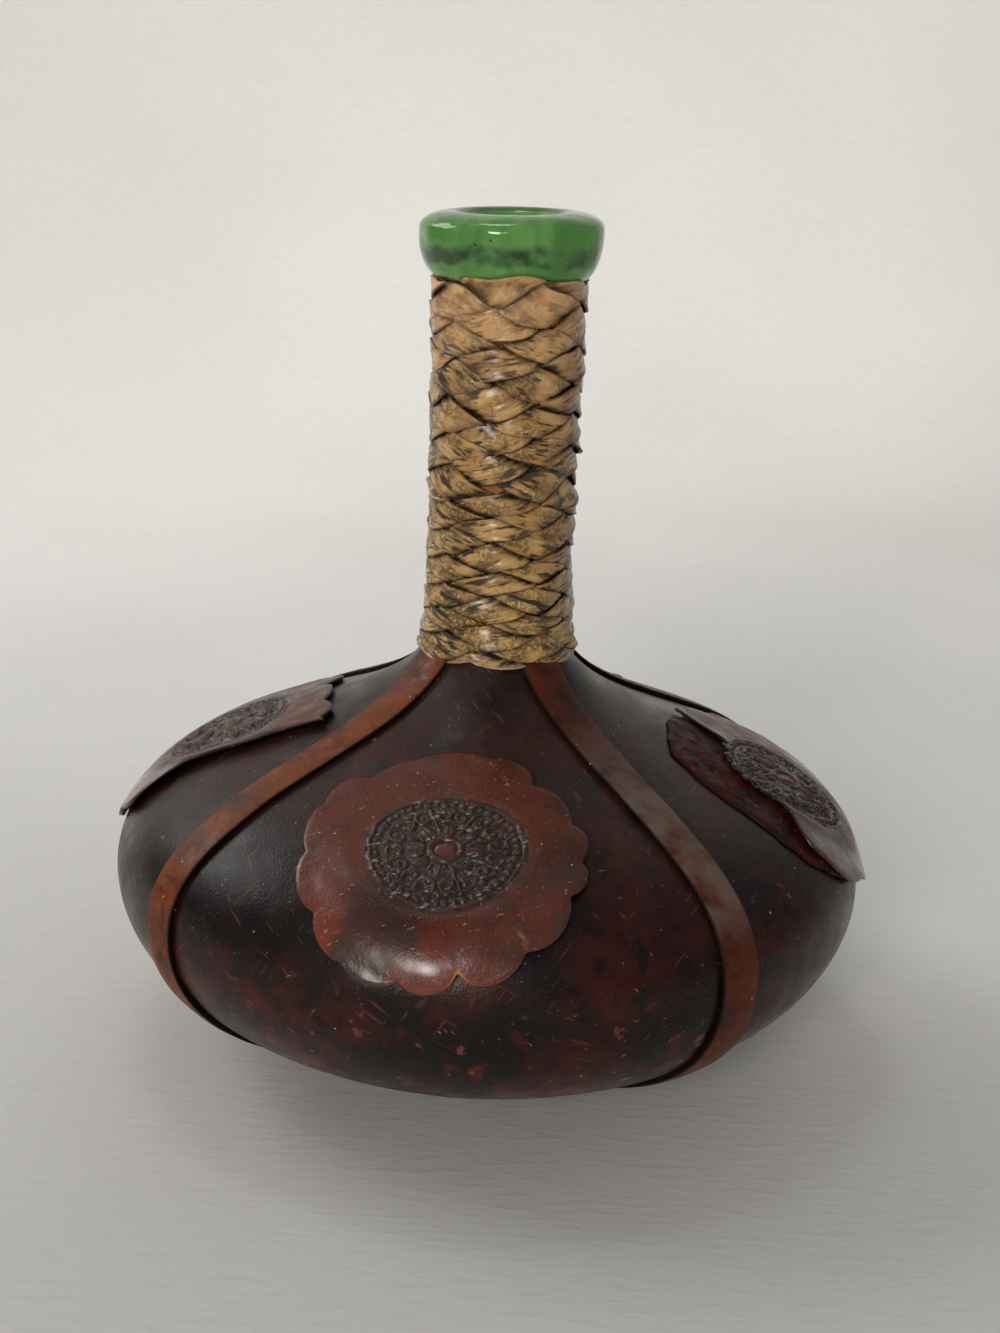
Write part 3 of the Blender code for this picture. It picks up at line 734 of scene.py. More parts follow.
def build_gores(context):
    """Four quarter coats of leather, wetted and stretched over the body, each a little uneven."""
    material = gore_material(context.scene.decanter_colours)
    half = math.pi / SIDES
    for number in range(SIDES):
        turn = 2 * half * number

        def place(across, along):
            length = -PANEL_TURN_IN + (OUTLINE.total + PANEL_TURN_IN) * along
            trim = SEAM_GAP / 2 / (OUTLINE.radius_at(length) + min(length, 0))
            azimuth = turn + clamp(-half + 2 * half * across, -half + trim, half - trim)
            flat = OUTLINE.place(length, azimuth, 0)
            calm = smooth(length, 0, PANEL_EVEN_LENGTH) * smooth(OUTLINE.total - length, 0, PANEL_EVEN_LENGTH)
            rise = ripple(flat, 0.030, 1.0) * PANEL_SWELL + ripple(flat, 0.011, 5.0) * PANEL_RIPPLE
            return OUTLINE.place(length, azimuth, PANEL_LIFT + PANEL_LEATHER + rise * calm), ()

        piece = new_piece(f"gore_coat_{number + 1}", sheet(85, 121, place), material,
                          f"gore_{number + 1}", sharp=60)
        thicken(piece, PANEL_LEATHER, -1)


# How deeply each strap took the dark dye
STRAP_DYES = (0.75, 0.35, 0.5, 0.1)
# Where the lines along a strap lie, as shares of its half width: closest at its rounded edges
STRAP_LINES = (-1.0, -0.97, -0.92, -0.84, -0.7, -0.45, -0.15, 0.15, 0.45, 0.7, 0.84, 0.92, 0.97, 1.0)


def build_straps(context):
    """A strap glued over each seam, with crowned face, uneven cut edges and thinned upper end."""
    width = context.scene.decanter_sizes.strap_width
    material = strap_material(context.scene.decanter_colours)
    start = OUTLINE.length_at_radius(STRAP_END_RADIUS)
    end = OUTLINE.length_at_height(STRAP_TOP_HEIGHT, STRAP_LIFT + STRAP_TUCK_LEATHER)
    half = math.pi / SIDES
    for number in range(SIDES):
        turn = half + 2 * half * number
        skives = []

        def place(across, along):
            side = STRAP_LINES[round(across * (len(STRAP_LINES) - 1))]
            length = start + (end - start) * along
            spine = OUTLINE.place(length, turn, 0)
            wander = ripple(spine, 0.022, 7.0 + number) * STRAP_WANDER
            uneven = 1 + STRAP_WIDTH_SHARE * ripple(spine, 0.015, 3.0 + number + math.copysign(20, side))
            azimuth = turn + (wander + side * (width / 2 * uneven)) / OUTLINE.radius_at(length)
            skive = smooth(-spine.z, -STRAP_SKIVE_HEIGHTS[1], -STRAP_SKIVE_HEIGHTS[0])
            skives.append(skive)
            thickness = STRAP_TUCK_LEATHER + (STRAP_LEATHER - STRAP_TUCK_LEATHER) * skive
            crown = STRAP_EDGE_FALL * abs(side) ** 5 + STRAP_CROWN * side ** 2
            rise = ripple(OUTLINE.place(length, azimuth, 0), 0.008, 2.0) * STRAP_RIPPLE
            point = OUTLINE.place(length, azimuth, STRAP_LIFT + thickness + (rise - crown) * skive)
            return point, (smooth(abs(side), 0.78, 1.0), STRAP_DYES[number])

        bm = sheet(len(STRAP_LINES), 151, place, marks=("edge", "dyed"))
        piece = new_piece(f"strap_band_{number + 1}", bm, material, f"strap_{number + 1}",
                          sharp=60)
        group = piece.vertex_groups.new(name="full_leather")
        for index, skive in enumerate(skives):
            group.add([index], skive, "REPLACE")
        thicken(piece, STRAP_LEATHER, -1, group.name, STRAP_TUCK_LEATHER / STRAP_LEATHER)
        soften(piece, STRAP_ROUNDING, 2)


# Medallions

# The rim as cut by hand: the angle in degrees and radius in mm of each notch between two scallops,
# and how far in mm the scallop after it bulges out
NOTCHES = (
    (-7, 32.9, 2.3), (16, 30.2, 1.3), (53, 28.7, 2.6), (79, 33.0, 1.8), (111, 31.6, 0.6),
    (140, 29.7, 2.6), (168, 33.9, 2.2), (194, 35.0, 3.1), (218, 35.6, 2.1), (238, 36.3, 2.1),
    (260, 33.6, 2.3), (284, 32.2, 3.2), (311, 33.6, 3.5), (337, 33.4, 2.9), (353, 32.9, 2.3),
)
# Sizes of the medallions in mm: the stamped rosette, its rings from the middle out, and the plain margin
ROSETTE_RADIUS = 18.6
COLLAR_RING, PETAL_RING, SCROLL_RING, BUD_RING, BEAD_RING, BORDER_RING = 3.6, 6.7, 11.6, 13.9, 16.3, 18.0
STEM_ENDS = (5.5, 14.6)
SCROLL_SIZE = 2.5
MARGIN_WIDTH = 16
# Where the front medallion is nicked and cracked at its rim, as angles on the gore
NICK_ANGLE = -1.33
CRACK_ANGLE = -0.86


def scalloped_rim(degrees):
    """The cut rim's radius in mm at an angle."""
    degrees = (degrees + 7) % 360 - 7
    for (low, near, bulge), (high, far, _) in zip(NOTCHES, NOTCHES[1:]):
        if degrees <= high:
            share = (degrees - low) / (high - low)
            return near + (far - near) * share + bulge * math.sin(math.pi * share) ** 0.7
    return NOTCHES[0][1]


def tooling(rho, angle):
    """Height from 0 to 1 of the stamped rosette at a polar place in mm and radians, a plain scroll design.

    From its middle out it has a boss in a collar, eight petals with stems between them, a scroll on each
    side of a petal, a bud over it, a ring of beads and a border.
    """
    eighth, pitch = math.pi / 4, math.pi / 24
    away = (angle + eighth / 2) % eighth - eighth / 2
    side = rho * away
    boss = dome(rho / 2.3)
    collar = 0.8 * dome((rho - COLLAR_RING) / 0.7)
    petal = 0.85 * dome(side / 1.6, (rho - PETAL_RING) / 2.2) - 0.35 * hump(side, 0, 0.25)
    bud = 0.7 * dome((rho - BUD_RING) / 0.8, side)
    bead_side = rho * ((angle + pitch / 2) % pitch - pitch / 2)
    bead = 0.75 * dome((rho - BEAD_RING) / 0.82, bead_side / 0.82)
    border = 0.6 * dome((rho - BORDER_RING) / 0.55)
    stem = scroll = 0.0
    if STEM_ENDS[0] < rho < STEM_ENDS[1]:
        stem = 0.75 * dome(rho * (eighth / 2 - abs(away)) / 0.42)
    east = rho * math.cos(abs(away) - math.pi / 15) - SCROLL_RING
    north = rho * math.sin(abs(away) - math.pi / 15)
    reach = math.hypot(east, north)
    if reach < SCROLL_SIZE:
        curl = math.cos(math.atan2(north, east) - 2.9 * reach + 0.6)
        scroll = 0.8 * smooth(curl, -0.35, 0.7) * smooth(SCROLL_SIZE - reach, 0, 0.35)
    return max(boss, collar, petal, stem, scroll, bud, bead, border)


class Medallion:
    """How one medallion lies: its middle in mm on the gore, its turn, and how far it was drawn wide."""

    def __init__(self, number, middle, turn, drawn=0.0):
        self.number = number
        self.middle = middle
        self.turn = turn
        self.drawn = drawn

    def rim(self, angle):
        """The rim's radius in mm at an angle on the gore."""
        radius = scalloped_rim(math.degrees(angle - self.turn))
        if self.number == 4:
            chord = 21.5 + 0.9 * math.sin(5.5 * angle) + 4.0 * smooth(-angle, 0.35, 0.95)
            if abs(angle) < 1.2:
                radius = min(radius, chord / max(math.cos(angle), 0.3))
        if self.number == 1:
            radius -= 1.3 * hump(angle, NICK_ANGLE, 0.05)
        if self.number == 2:
            torn = math.degrees(angle) % 360
            bite = smooth(torn, 62, 84) * (1 - smooth(torn, 176, 212))
            radius += (ROSETTE_RADIUS + 1.0 * math.sin(torn * 0.35) - radius) * bite
        return radius

    def lift(self, reach, angle):
        """How far in mm the leather stands off the gore at a place near its rim."""
        if self.number == 4:
            return 1.2 * smooth(math.cos(angle + 0.1), 0.2, 0.9) * smooth(reach, 15, 23)
        if self.number == 2:
            torn = math.degrees(angle) % 360
            peel = smooth(torn, 60, 95) * (1 - smooth(torn, 180, 235))
            tip = hump(torn, 250, 14)
            return 1.6 * peel * smooth(reach, 14, 21) + 2.4 * tip * smooth(reach, 24, 36)
        pillow = clamp(-math.sin(angle) - 0.15) * math.sin(math.pi * clamp((reach - 19) / 15))
        loose = 1 + ripple(polar_point(reach, angle), 9, self.number)
        return 1.4 * pillow + 0.35 * smooth(reach, 20, 34) * loose

    def place(self, reach, angle, rise):
        """A point by its polar place in mm on the gore and its rise in mm over the medallion's back."""
        drawn = self.drawn * (1 - smooth(reach, 19, 29))
        across = self.middle[0] + reach * math.cos(angle) * (1 + 0.4 * drawn)
        up = self.middle[1] + reach * math.sin(angle) * (1 - drawn)
        length = OUTLINE.length_at_height(MEDALLION_HEIGHT) + up * MM
        turn = 2 * math.pi / SIDES * (self.number - 1)
        azimuth = turn + across * MM / OUTLINE.radius_at(length)
        return OUTLINE.place(length, azimuth, MEDALLION_LIFT + rise * MM)


# In order round the body: front, right, rear and left
MEDALLIONS = (
    Medallion(1, (0.0, 0.4), 0.0, 0.08),
    Medallion(2, (0.0, -4.5), 2.3),
    Medallion(3, (0.5, 0.5), 4.2),
    Medallion(4, (3.0, 3.0), 1.1),
)


def flat_net(rings, sectors):
    """A flat polar net spun from one line of rings, facing up."""
    bm = spun([(ring, 0) for ring in rings], sectors)
    bm.faces.ensure_lookup_table()
    if bm.faces[0].normal.z < 0:
        bmesh.ops.reverse_faces(bm, faces=bm.faces)
    return bm


def medallion_mesh(medallion, relief):
    """One tooled medallion as an outer sheet, with marks for its tooling, its rim and the painted shade in
    the groove round the rosette, wax and raw leather.
    """
    inner, outer = 58, 24
    rings = [ROSETTE_RADIUS * step / inner for step in range(inner + 1)]
    rings += [ROSETTE_RADIUS + MARGIN_WIDTH * step / outer for step in range(1, outer + 1)]
    bm = flat_net(rings, 320)
    marks = ("tooled", "recess", "boss", "edge", "raw", "waxed")
    layers = {name: bm.verts.layers.float.new(name) for name in marks}
    for vert in bm.verts:
        ring, angle = math.hypot(vert.co.x, vert.co.y), math.atan2(vert.co.y, vert.co.x)
        rim = medallion.rim(angle)
        reach = ring
        if ring > ROSETTE_RADIUS - 1:
            share = (ring - ROSETTE_RADIUS + 1) / (MARGIN_WIDTH + 1)
            reach = ROSETTE_RADIUS - 1 + share * (rim - ROSETTE_RADIUS + 1)
        spot = polar_point(reach, angle, medallion.number * 9.0)
        height = 0.0
        if reach < ROSETTE_RADIUS + 0.4:
            east = spot.x + 0.55 * ripple(spot, 3.4, 1.0)
            north = spot.y + 0.55 * ripple(spot, 3.4, 6.0)
            height = tooling(math.hypot(east, north), math.atan2(north, east) + medallion.turn)
            height *= clamp(0.80 + 1.0 * ripple(spot, 4.5, 3.0), 0.10, 1.0)
            height += 0.16 * ripple(spot, 1.3, 8.0)
        inside = 1 - smooth(reach, ROSETTE_RADIUS - 0.3, ROSETTE_RADIUS + 0.5)
        from_rim = rim - reach
        rounding = 0.35 * (1 - smooth(from_rim, 0.0, 1.1)) ** 2
        swell = 0.16 * ripple(spot, 7.0, 2.0) + 0.05 * ripple(spot, 2.2, 4.0)
        groove = 0.11 * hump(reach - ROSETTE_RADIUS, 0.9, 0.7)
        rise = MEDALLION_LEATHER / MM + medallion.lift(reach, angle) - rounding
        rise += inside * (height - 0.45) * relief + (1 - inside) * swell - groove
        vert[layers["tooled"]] = inside
        vert[layers["recess"]] = inside * (1 - smooth(height, 0.12, 0.55))
        vert[layers["boss"]] = 1 - smooth(reach, 1.6, 2.6)
        vert[layers["waxed"]] = max(0.4 * inside, smooth(reach, 22, 28) * smooth(-math.sin(angle), -0.1, 0.6))
        # The edge mark darkens the cut rim, and paints shade in the groove round the rosette, heavier on its
        # lower side
        vert[layers["edge"]] = max(1 - smooth(from_rim, 0.0, 0.9), groove * (4.5 - 2.8 * math.sin(angle)))
        raw = 0.0
        if medallion.number == 1:
            at_nick = hump(angle, NICK_ANGLE, 0.07) * (1 - smooth(from_rim, 0.5, 1.3))
            wander = 0.02 * noise.noise((from_rim * 0.9, 2.0, 0.0))
            width = 0.006 + 0.010 * noise.noise((from_rim * 0.7, 8.0, 0.0)) ** 2
            at_crack = hump(angle - CRACK_ANGLE - from_rim * 0.008 + wander, 0, width)
            at_crack *= 1 - smooth(from_rim, 4.0, 6.5)
            raw = max(at_nick, 0.8 * at_crack)
            rise -= 0.35 * at_crack
        vert[layers["raw"]] = clamp(raw)
        vert.co = medallion.place(reach, angle, rise)
    return bm


def torn_layer_mesh(medallion):
    """The split left on the gore where the medallion's grain layer has torn away."""
    start, width = 14, 22
    bm = flat_net([start + step for step in range(width + 1)], 200)
    edge = bm.verts.layers.float.new("edge")
    for vert in bm.verts:
        ring, angle = math.hypot(vert.co.x, vert.co.y), math.atan2(vert.co.y, vert.co.x)
        degrees = math.degrees(angle) % 360
        rim = interpolate(degrees, *TORN_RIM) + 0.7 * ripple(Vector((degrees * 0.12, 0, 0)), 1.0, 4.0)
        reach = start + (ring - start) / width * (rim - start)
        spot = polar_point(reach, angle)
        rise = 0.55 + 0.35 * ripple(spot, 2.0, 5.0) + 0.25 * ripple(spot, 5.0, 2.0)
        rise *= smooth(rim - reach, -0.3, 1.6)
        vert[edge] = 1 - smooth(rim - reach, 0.2, 1.6)
        vert.co = medallion.place(reach, angle, rise)
    return bm


# The torn layer's rim: angles in degrees and radii in mm
TORN_RIM = (
    (0, 40, 70, 83, 120, 140, 162, 179, 193, 205, 219, 245, 300, 360),
    (28, 28, 31, 35.0, 33.6, 31.0, 30.2, 31.5, 34.6, 37.0, 35.0, 31, 28, 28),
)


def build_medallions(context):
    """The four tooled medallions, and the torn split under the one on the right."""
    material = medallion_material(context.scene.decanter_colours)
    for medallion in MEDALLIONS:
        bm = medallion_mesh(medallion, context.scene.decanter_sizes.relief / MM)
        thickness = TORN_GRAIN_LEATHER if medallion.number == 2 else MEDALLION_LEATHER - MEDALLION_GAP
        piece = new_piece(f"tooled_medallion_{medallion.number}", bm, material,
                          f"medallion_{medallion.number}", sharp=60)
        thicken(piece, thickness, -1)
    torn = new_piece("torn_split", torn_layer_mesh(MEDALLIONS[1]), torn_material(),
                     "medallion_2", sharp=60)
    thicken(torn, TORN_SPLIT_LEATHER, -1)


# The plait

def plait_radius(height):
    """Middle radius of the plait, over the strap ends at its foot and over the lining above."""
    over_straps = STRAP_LIFT + STRAP_TUCK_LEATHER
    over_sleeve = SLEEVE_LIFT + SLEEVE_LEATHER
    share = clamp((height - NECK_FOOT_HEIGHT) / PLAIT_EASE_HEIGHT)
    ease = (1 + math.cos(math.pi * share)) / 2
    return OUTLINE.radius_at_height(height, over_sleeve + (over_straps - over_sleeve) * ease + LACE_STACK)


def over_under(crossing):
    """Over (1) or under (-1) along a lace, counted in crossings, bent round at each change."""
    wave = math.cos(math.pi * crossing)
    return math.copysign(abs(wave) ** 0.45, wave)


def net_height(level):
    """Height of a row of the plait: the rows are drawn closer together towards the foot."""
    share = level / PLAIT_ROWS
    share = share * (1 - PLAIT_TIGHTENING_SHARE) + PLAIT_TIGHTENING_SHARE * share * share
    return PLAIT_FOOT_HEIGHT + (PLAIT_TOP_HEIGHT - PLAIT_FOOT_HEIGHT) * share


def lip_underside(height):
    """Radius of the glass under the lip, for leather that is drawn up over it."""
    share = clamp((height - NECK_TOP_HEIGHT) / LIP_CURL_HEIGHT)
    return LIP_RADIUS - LIP_CURL_WIDTH * (1 - math.sqrt(1 - (1 - share) ** 2))


def foot_lobe(world):
    """How far the plait's foot hangs down in its lobes, from 0 to 1, at an azimuth from the world's -Y."""
    return abs(math.sin(FOOT_LOBES / 2 * (world + FOOT_LOBE_TURN))) ** 0.6


def top_rise(world):
    """How far in mm the plait's uneven top rises over its even height, at an azimuth from the world's -Y."""
    rise = 0.9 + 1.3 * math.cos(world + 0.2) + 0.7 * math.sin(3 * world + 1.0) + 0.5 * math.sin(8 * world)
    return rise - 1.3 * max(0.0, -math.sin(world)) ** 3


def lace_mesh(right_hand, lane, half_width):
    """One lace as a sheet: cut from a flat net of rows and turns, then wound round the neck.

    Along a right-hand lace the place in the net grows by one crossing at a time, both in height and in
    turn; a left-hand lace turns the other way. Each face is widest where it lies on top, and pinched
    where it dives under a neighbour. Laces beside the plait's gap are drawn aside from it.
    """
    column = math.pi / LACES_EACH_HAND
    sign = 1 if right_hand else -1
    seed = lane * 3.1 + (40 if right_hand else 0)
    gap_across = math.remainder(GAP_ROW / 2 + sign * lane, LACES_EACH_HAND)
    toward_gap = math.copysign(1, gap_across)

    def drift(first, second):
        """Smooth noise of this lace's own."""
        return noise.noise((first, second, seed))

    def trim(along, side):
        """How wide one side of the lace is cut at a place along it, about 1 where it lies on top."""
        top = math.cos(math.pi * along) * sign
        return 0.89 + 0.11 * top + 0.18 * drift(along * 0.8, math.copysign(3, side))

    bm = bmesh.new()
    layers = {name: bm.verts.layers.float.new(name) for name in ("edge", "fold", "tone", "pale", "side")}
    grain = bm.verts.layers.float_vector.new("grain")
    bmesh.ops.create_grid(bm, x_segments=(PLAIT_ROWS + 2) * 16, y_segments=14, size=1)
    for vert in bm.verts:
        along, side = -1 + (vert.co.x + 1) / 2 * (PLAIT_ROWS + 2), vert.co.y
        wander = 0.26 * drift(along * 0.5, 7.0)
        across = side * half_width * trim(along, side) + wander
        if abs(gap_across) < 1:
            rim = half_width * trim(along, toward_gap) + toward_gap * wander
            over = max(0.0, rim + GAP_OPENING_SHARE - abs(gap_across))
            across -= toward_gap * over * hump(along - GAP_ROW + gap_across, 0, GAP_REACH_SHARE)
        p, q = (along, across) if right_hand else (across, along)
        vert[layers["side"]] = side
        vert.co = (p - q, p + q, 0)
    if not right_hand:
        bmesh.ops.reverse_faces(bm, faces=bm.faces)
    for level, way in ((0, -1), (PLAIT_ROWS, 1)):
        bmesh.ops.bisect_plane(
            bm, geom=bm.verts[:] + bm.edges[:] + bm.faces[:], dist=WELD,
            plane_co=(0, level, 0), plane_no=(0, way, 0), clear_outer=True,
        )
    for vert in bm.verts:
        turns, level, side = vert.co.x, vert.co.y, vert[layers["side"]]
        along = (level + sign * turns) / 2
        weave = over_under(along) * sign
        face = round(along)
        azimuth = turns * column + lane * 2 * column
        world = azimuth + FRONT_TURN
        height = net_height(level)
        spot = polar_point(NECK_TOP_RADIUS, azimuth, height)
        from_foot, from_top = height - PLAIT_FOOT_HEIGHT, PLAIT_TOP_HEIGHT - height
        foot, top = 1 - smooth(from_foot, 0, FOOT_EASE), 1 - smooth(from_top, 0, TOP_EASE)
        middle = (1 - foot) * (1 - top)
        tilt = -0.18 + 0.85 * drift(along * 0.7, 1.0)
        curl = 0.55 * abs(side) ** 4 * clamp(0.4 + 1.2 * drift(along * 0.9, math.copysign(2, side)))
        streaks = drift(along * 2.2, side * 3.2) * 0.16 + drift(along * 7, side * 5) * 0.09
        crease = -0.30 * hump(side, 0.9 * drift(face * 3.3, 5.0), 0.10) * clamp(2.2 * drift(face * 1.7, 9.0))
        bulge = 0.60 * ripple(spot, 0.012, 2.0) * middle
        crest = 0.82 * weave + tilt * side + curl * (0.5 + 0.5 * weave)
        roll = -0.8 * (1 - smooth(from_foot, 0, FOOT_ROLL_HEIGHT))
        radius = plait_radius(height) + (bulge + crest + streaks + crease + roll) * MM
        height += ROW_WANDER * ripple(spot, 0.010, 9.0) * middle
        height -= FOOT_LOBE_DROP * foot_lobe(world) * foot
        height += top_rise(world) * MM * top
        if height > NECK_TOP_HEIGHT:
            radius = max(radius, lip_underside(height) + (0.75 + 0.30 * weave) * MM)
        # A painted highlight along the rolled foot, and one pale spot high on the plait
        pale_spot = hump(world, PALE_SPOT_TURN, 0.13) * hump(height, PALE_SPOT_HEIGHT, 0.0017)
        # The edge and fold marks lead painted shade along each lace's edges and where it dives under a
        # neighbour
        vert[layers["edge"]] = smooth(abs(side), 0.80, 1.0)
        vert[layers["tone"]] = 0.5 + 0.5 * drift(face * 5.3, 3.0) + 0.2 * drift(along, side)
        vert[layers["pale"]] = max(1 - smooth(from_foot, 0.0002, 0.0011), pale_spot)
        vert[layers["fold"]] = 2 * abs(along - face) if weave > 0 else 1.0
        step = column * NECK_TOP_RADIUS
        vert[grain] = (along * step, side * step * half_width, seed * MM)
        vert.co = around(radius, height, azimuth + 0.05 * ripple(spot, 0.013, 14.0))
    return bm


def build_laces(context):
    """Ten tan laces plaited over one and under one, five winding each way, loose and uneven."""
    half_width = context.scene.decanter_sizes.lace_width_share / 2
    material = lace_material(context.scene.decanter_colours)
    for hand, right_hand in (("right", True), ("left", False)):
        for lane in range(LACES_EACH_HAND):
            bm = lace_mesh(right_hand, lane, half_width)
            piece = new_piece(f"plaited_lace_{hand}_{lane + 1}", bm, material,
                              f"lace_{hand}_hand_{lane + 1}", sharp=60)
            thicken(piece, LACE_LEATHER * LACE_PRESS_SHARE, 0)


# The stage

# Each lamp's place and aim, its size in metres, power in watts, colour and spread in degrees
LAMPS = {
    "window_front_left": ((-2.35, -7.24, 2.57), (0, 0, 0.1), (2.2, 3.2), 20.5, "#FFFAF3", 40),
    "side_soft": ((-1.30, 0.55, 1.15), (0, 0.1, 0.05), (0.9, 0.7), 7.5, "#FFFEFC", 180),
    "backdrop_wash": ((-0.5, 0.55, 1.8), (-0.3, 0.9, 0.0), (0.9, 0.3), 1.6, "#FFFFFF", 70),
}
ROOM_COLOUR, ROOM_STRENGTH = "#F4F5F7", 0.26
FLOOR_RADIUS = 1.0
COVE_RADIUS = 0.5
COVE_HEIGHT = 2.6
CAMERA_PLACE = (0.0014, -0.5152, 0.2611)
CAMERA_PITCH = math.radians(17.02)
CAMERA_ROLL = math.radians(2.27)
CAMERA_LENS = 54.01
CAMERA_SENSOR = 36.0


def add_cove(tints):
    """A cloth floor that bends up into a wall, close behind the decanter and far out in front of it."""
    line = [(FLOOR_RADIUS * step / 4, 0.0) for step in range(5)]
    line += [(FLOOR_RADIUS + COVE_RADIUS * math.sin(angle), COVE_RADIUS * (1 - math.cos(angle)))
             for angle in numpy.linspace(0, math.pi / 2, 16)[1:]]
    line.append((FLOOR_RADIUS + COVE_RADIUS, COVE_HEIGHT))
    bm = spun(line, 96)
    for vert in bm.verts:
        radius = math.hypot(vert.co.x, vert.co.y)
        if radius > 0:
            back = smooth(vert.co.y / radius, -0.1, 0.75)
            away = 1 + (8.0 * (1 - back) - 0.3 * back) * smooth(radius, 0.3, 1.0)
            vert.co.x *= away
            vert.co.y *= away
    bmesh.ops.recalc_face_normals(bm, faces=bm.faces)
    new_piece("floor_and_backdrop", bm, floor_material(tints), sharp=80)


def add_lamp(name, place, aim, size, power, tint, spread):
    """A rectangular lamp that faces its aim."""
    light = bpy.data.lights.new(name, "AREA")
    light.shape = "RECTANGLE"
    light.size, light.size_y = size
    light.energy = power
    light.spread = math.radians(spread)
    light.color = colour(tint)[:3]
    lamp = bpy.data.objects.new(name, light)
    lamp.location = place
    lamp.rotation_euler = (Vector(aim) - Vector(place)).to_track_quat("-Z", "Y").to_euler()
    bpy.context.scene.collection.objects.link(lamp)


def build_stage(context):
    """A cloth cove, a far window at the front left, a soft side light, a backdrop wash, and the camera."""
    scene = context.scene
    add_cove(scene.decanter_colours)
    for name, settings in LAMPS.items():
        add_lamp(name, *settings)

    world = bpy.data.worlds.new("soft_room")
    world.use_nodes = True
    sky = world.node_tree.nodes["Background"]
    sky.inputs["Color"].default_value = colour(ROOM_COLOUR)
    sky.inputs["Strength"].default_value = ROOM_STRENGTH
    scene.world = world

    lens = bpy.data.cameras.new("camera")
    lens.lens = CAMERA_LENS
    lens.sensor_width = CAMERA_SENSOR
    lens.clip_start = 0.01
    camera = bpy.data.objects.new("camera", lens)
    flat, upright = Vector((1, 0, 0)), Vector((0, math.sin(CAMERA_PITCH), math.cos(CAMERA_PITCH)))
    right = flat * math.cos(CAMERA_ROLL) + upright * math.sin(CAMERA_ROLL)
    up = upright * math.cos(CAMERA_ROLL) - flat * math.sin(CAMERA_ROLL)
    back = Vector((0, -math.cos(CAMERA_PITCH), math.sin(CAMERA_PITCH)))
    turn = Matrix((right, up, back)).transposed().to_4x4()
    camera.matrix_world = Matrix.Translation(CAMERA_PLACE) @ turn
    scene.collection.objects.link(camera)
    scene.camera = camera
    scene.view_settings.view_transform = "Standard"


# The add-on's settings, operators and panel

def length_property(name, description, default):
    return bpy.props.FloatProperty(
        name=name, description=description, default=default, min=0.0, unit="LENGTH",
    )


def colour_property(name, description, code):
    return bpy.props.FloatVectorProperty(
        name=name, description=description, default=colour(code), size=4, min=0.0, max=1.0, subtype="COLOR",
    )


class DecanterSizes(bpy.types.PropertyGroup):
    """Sizes of the leather that a user may change."""

    strap_width: length_property("Strap width", "Width of the straps over the seams", 0.0110)
    relief: length_property("Tooling relief", "Height of the stamped rosette from recess to crest", 0.0009)
    lace_width_share: bpy.props.FloatProperty(
        name="Lace width", description="Width of a lace on top, as a share of the spacing of the laces",
        default=1.02, min=0.5, max=1.1, subtype="FACTOR",
    )


class DecanterColours(bpy.types.PropertyGroup):
    """Colours of the glass, the leathers and the cloth."""

    glass_light: colour_property("Light glass", "Glass where it is thin", "#84C46C")
    glass_deep: colour_property("Deep glass", "Glass where it is thick", "#5E9E4A")
    gore_dark: colour_property("Coat, dark", "Blackened parts of the coat", "#140A08")
    gore_red: colour_property("Coat, red", "Burgundy parts of the coat", "#35100A")
    strap: colour_property("Strap", "Face of the straps", "#7C3910")
    strap_dark: colour_property("Strap, dark", "Handled parts of the straps", "#4E220E")
    medallion: colour_property("Medallion", "Plain margin of the medallions", "#5A240E")
    medallion_dark: colour_property("Medallion, dark", "Darkened parts of the margin", "#381C10")
    recess: colour_property("Tooling recess", "Black left in the tooling", "#1A110B")
    raw: colour_property("Raw leather", "Leather inside a tear", "#BC7434")
    lace: colour_property("Lace", "Grain of the laces", "#C9995A")
    lace_brown: colour_property("Lace, brown", "Browned parts of the laces", "#A87B42")
    # Colour of the dirt in the plait and of the painted shade in its deepest folds
    grime_and_shade: colour_property("Grime", "Dirt in the plait's folds", "#140D08")
    sleeve: colour_property("Lining", "Raw lining under the plait", "#A4683A")
    base: colour_property("Base", "Sole leather of the base", "#2A1A15")
    floor: colour_property("Cloth", "Floor and backdrop", "#E6E5E1")


class DECANTER_OT_bottle(bpy.types.Operator):
    """Add the green glass bottle"""

    bl_idname = "decanter.bottle"
    bl_label = "Add the glass bottle"

    def execute(self, context):
        build_bottle(context)
        return {"FINISHED"}


class DECANTER_OT_base(bpy.types.Operator):
    """Add the leather disc that the bottle stands on"""

    bl_idname = "decanter.base"
    bl_label = "Add the leather base"

    def execute(self, context):
        build_base(context)
        return {"FINISHED"}


class DECANTER_OT_gores(bpy.types.Operator):
    """Add the four leather gores of the coat"""

    bl_idname = "decanter.gores"
    bl_label = "Add the coat's gores"

    def execute(self, context):
        build_gores(context)
        return {"FINISHED"}


class DECANTER_OT_straps(bpy.types.Operator):
    """Add the four straps over the seams"""

    bl_idname = "decanter.straps"
    bl_label = "Add the straps"

    def execute(self, context):
        build_straps(context)
        return {"FINISHED"}


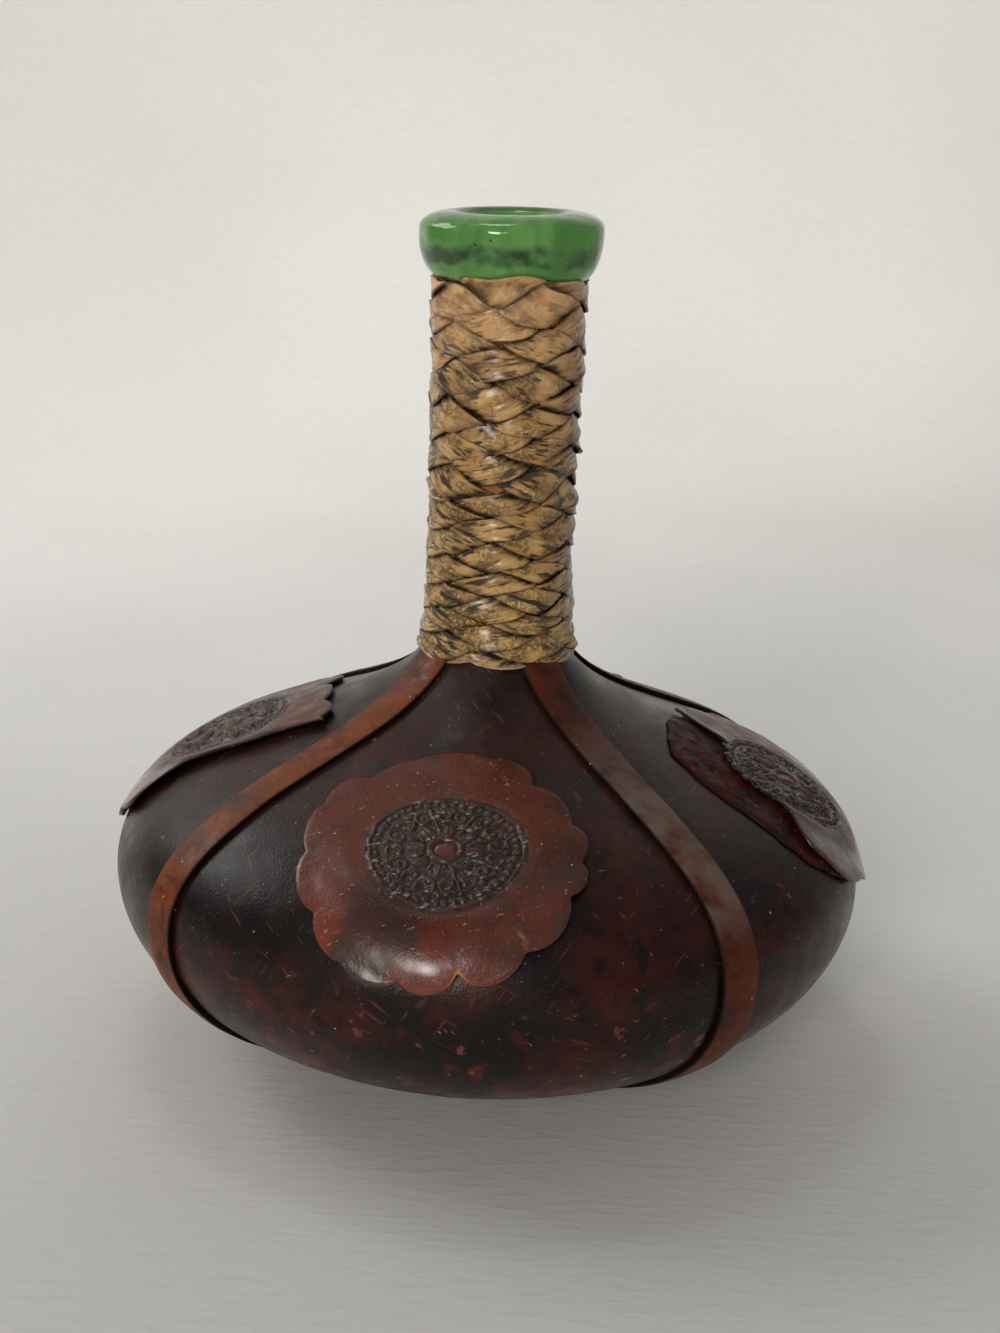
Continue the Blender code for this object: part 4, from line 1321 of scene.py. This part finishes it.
class DECANTER_OT_medallions(bpy.types.Operator):
    """Add the four tooled medallions"""

    bl_idname = "decanter.medallions"
    bl_label = "Add the medallions"

    def execute(self, context):
        build_medallions(context)
        return {"FINISHED"}


class DECANTER_OT_sleeve(bpy.types.Operator):
    """Add the raw lining under the plait"""

    bl_idname = "decanter.sleeve"
    bl_label = "Add the neck lining"

    def execute(self, context):
        build_sleeve(context)
        return {"FINISHED"}


class DECANTER_OT_laces(bpy.types.Operator):
    """Add the ten plaited laces"""

    bl_idname = "decanter.laces"
    bl_label = "Add the plaited laces"

    def execute(self, context):
        build_laces(context)
        return {"FINISHED"}


class DECANTER_OT_stage(bpy.types.Operator):
    """Add the backdrop, the lamps and the camera"""

    bl_idname = "decanter.stage"
    bl_label = "Add the stage"

    def execute(self, context):
        build_stage(context)
        return {"FINISHED"}


OPERATORS = (
    DECANTER_OT_bottle,
    DECANTER_OT_base,
    DECANTER_OT_gores,
    DECANTER_OT_straps,
    DECANTER_OT_medallions,
    DECANTER_OT_sleeve,
    DECANTER_OT_laces,
    DECANTER_OT_stage,
)


class DECANTER_PT_parts(bpy.types.Panel):
    """Sidebar panel with the decanter's pieces, sizes and colours"""

    bl_label = "Decanter"
    bl_space_type = "VIEW_3D"
    bl_region_type = "UI"
    bl_category = "Decanter"

    def draw(self, context):
        for operator in OPERATORS:
            self.layout.operator(operator.bl_idname)
        for settings in (context.scene.decanter_sizes, context.scene.decanter_colours):
            for name in settings.__annotations__:
                self.layout.prop(settings, name)


CLASSES = (DecanterSizes, DecanterColours, *OPERATORS, DECANTER_PT_parts)


def register():
    for item in CLASSES:
        bpy.utils.register_class(item)
    bpy.types.Scene.decanter_sizes = bpy.props.PointerProperty(type=DecanterSizes)
    bpy.types.Scene.decanter_colours = bpy.props.PointerProperty(type=DecanterColours)


def unregister():
    del bpy.types.Scene.decanter_colours
    del bpy.types.Scene.decanter_sizes
    for item in reversed(CLASSES):
        bpy.utils.unregister_class(item)


def main():
    """Build every piece and the stage."""
    register()
    for operator in OPERATORS:
        module, name = operator.bl_idname.split(".")
        getattr(getattr(bpy.ops, module), name)()


if __name__ == "__main__":
    main()
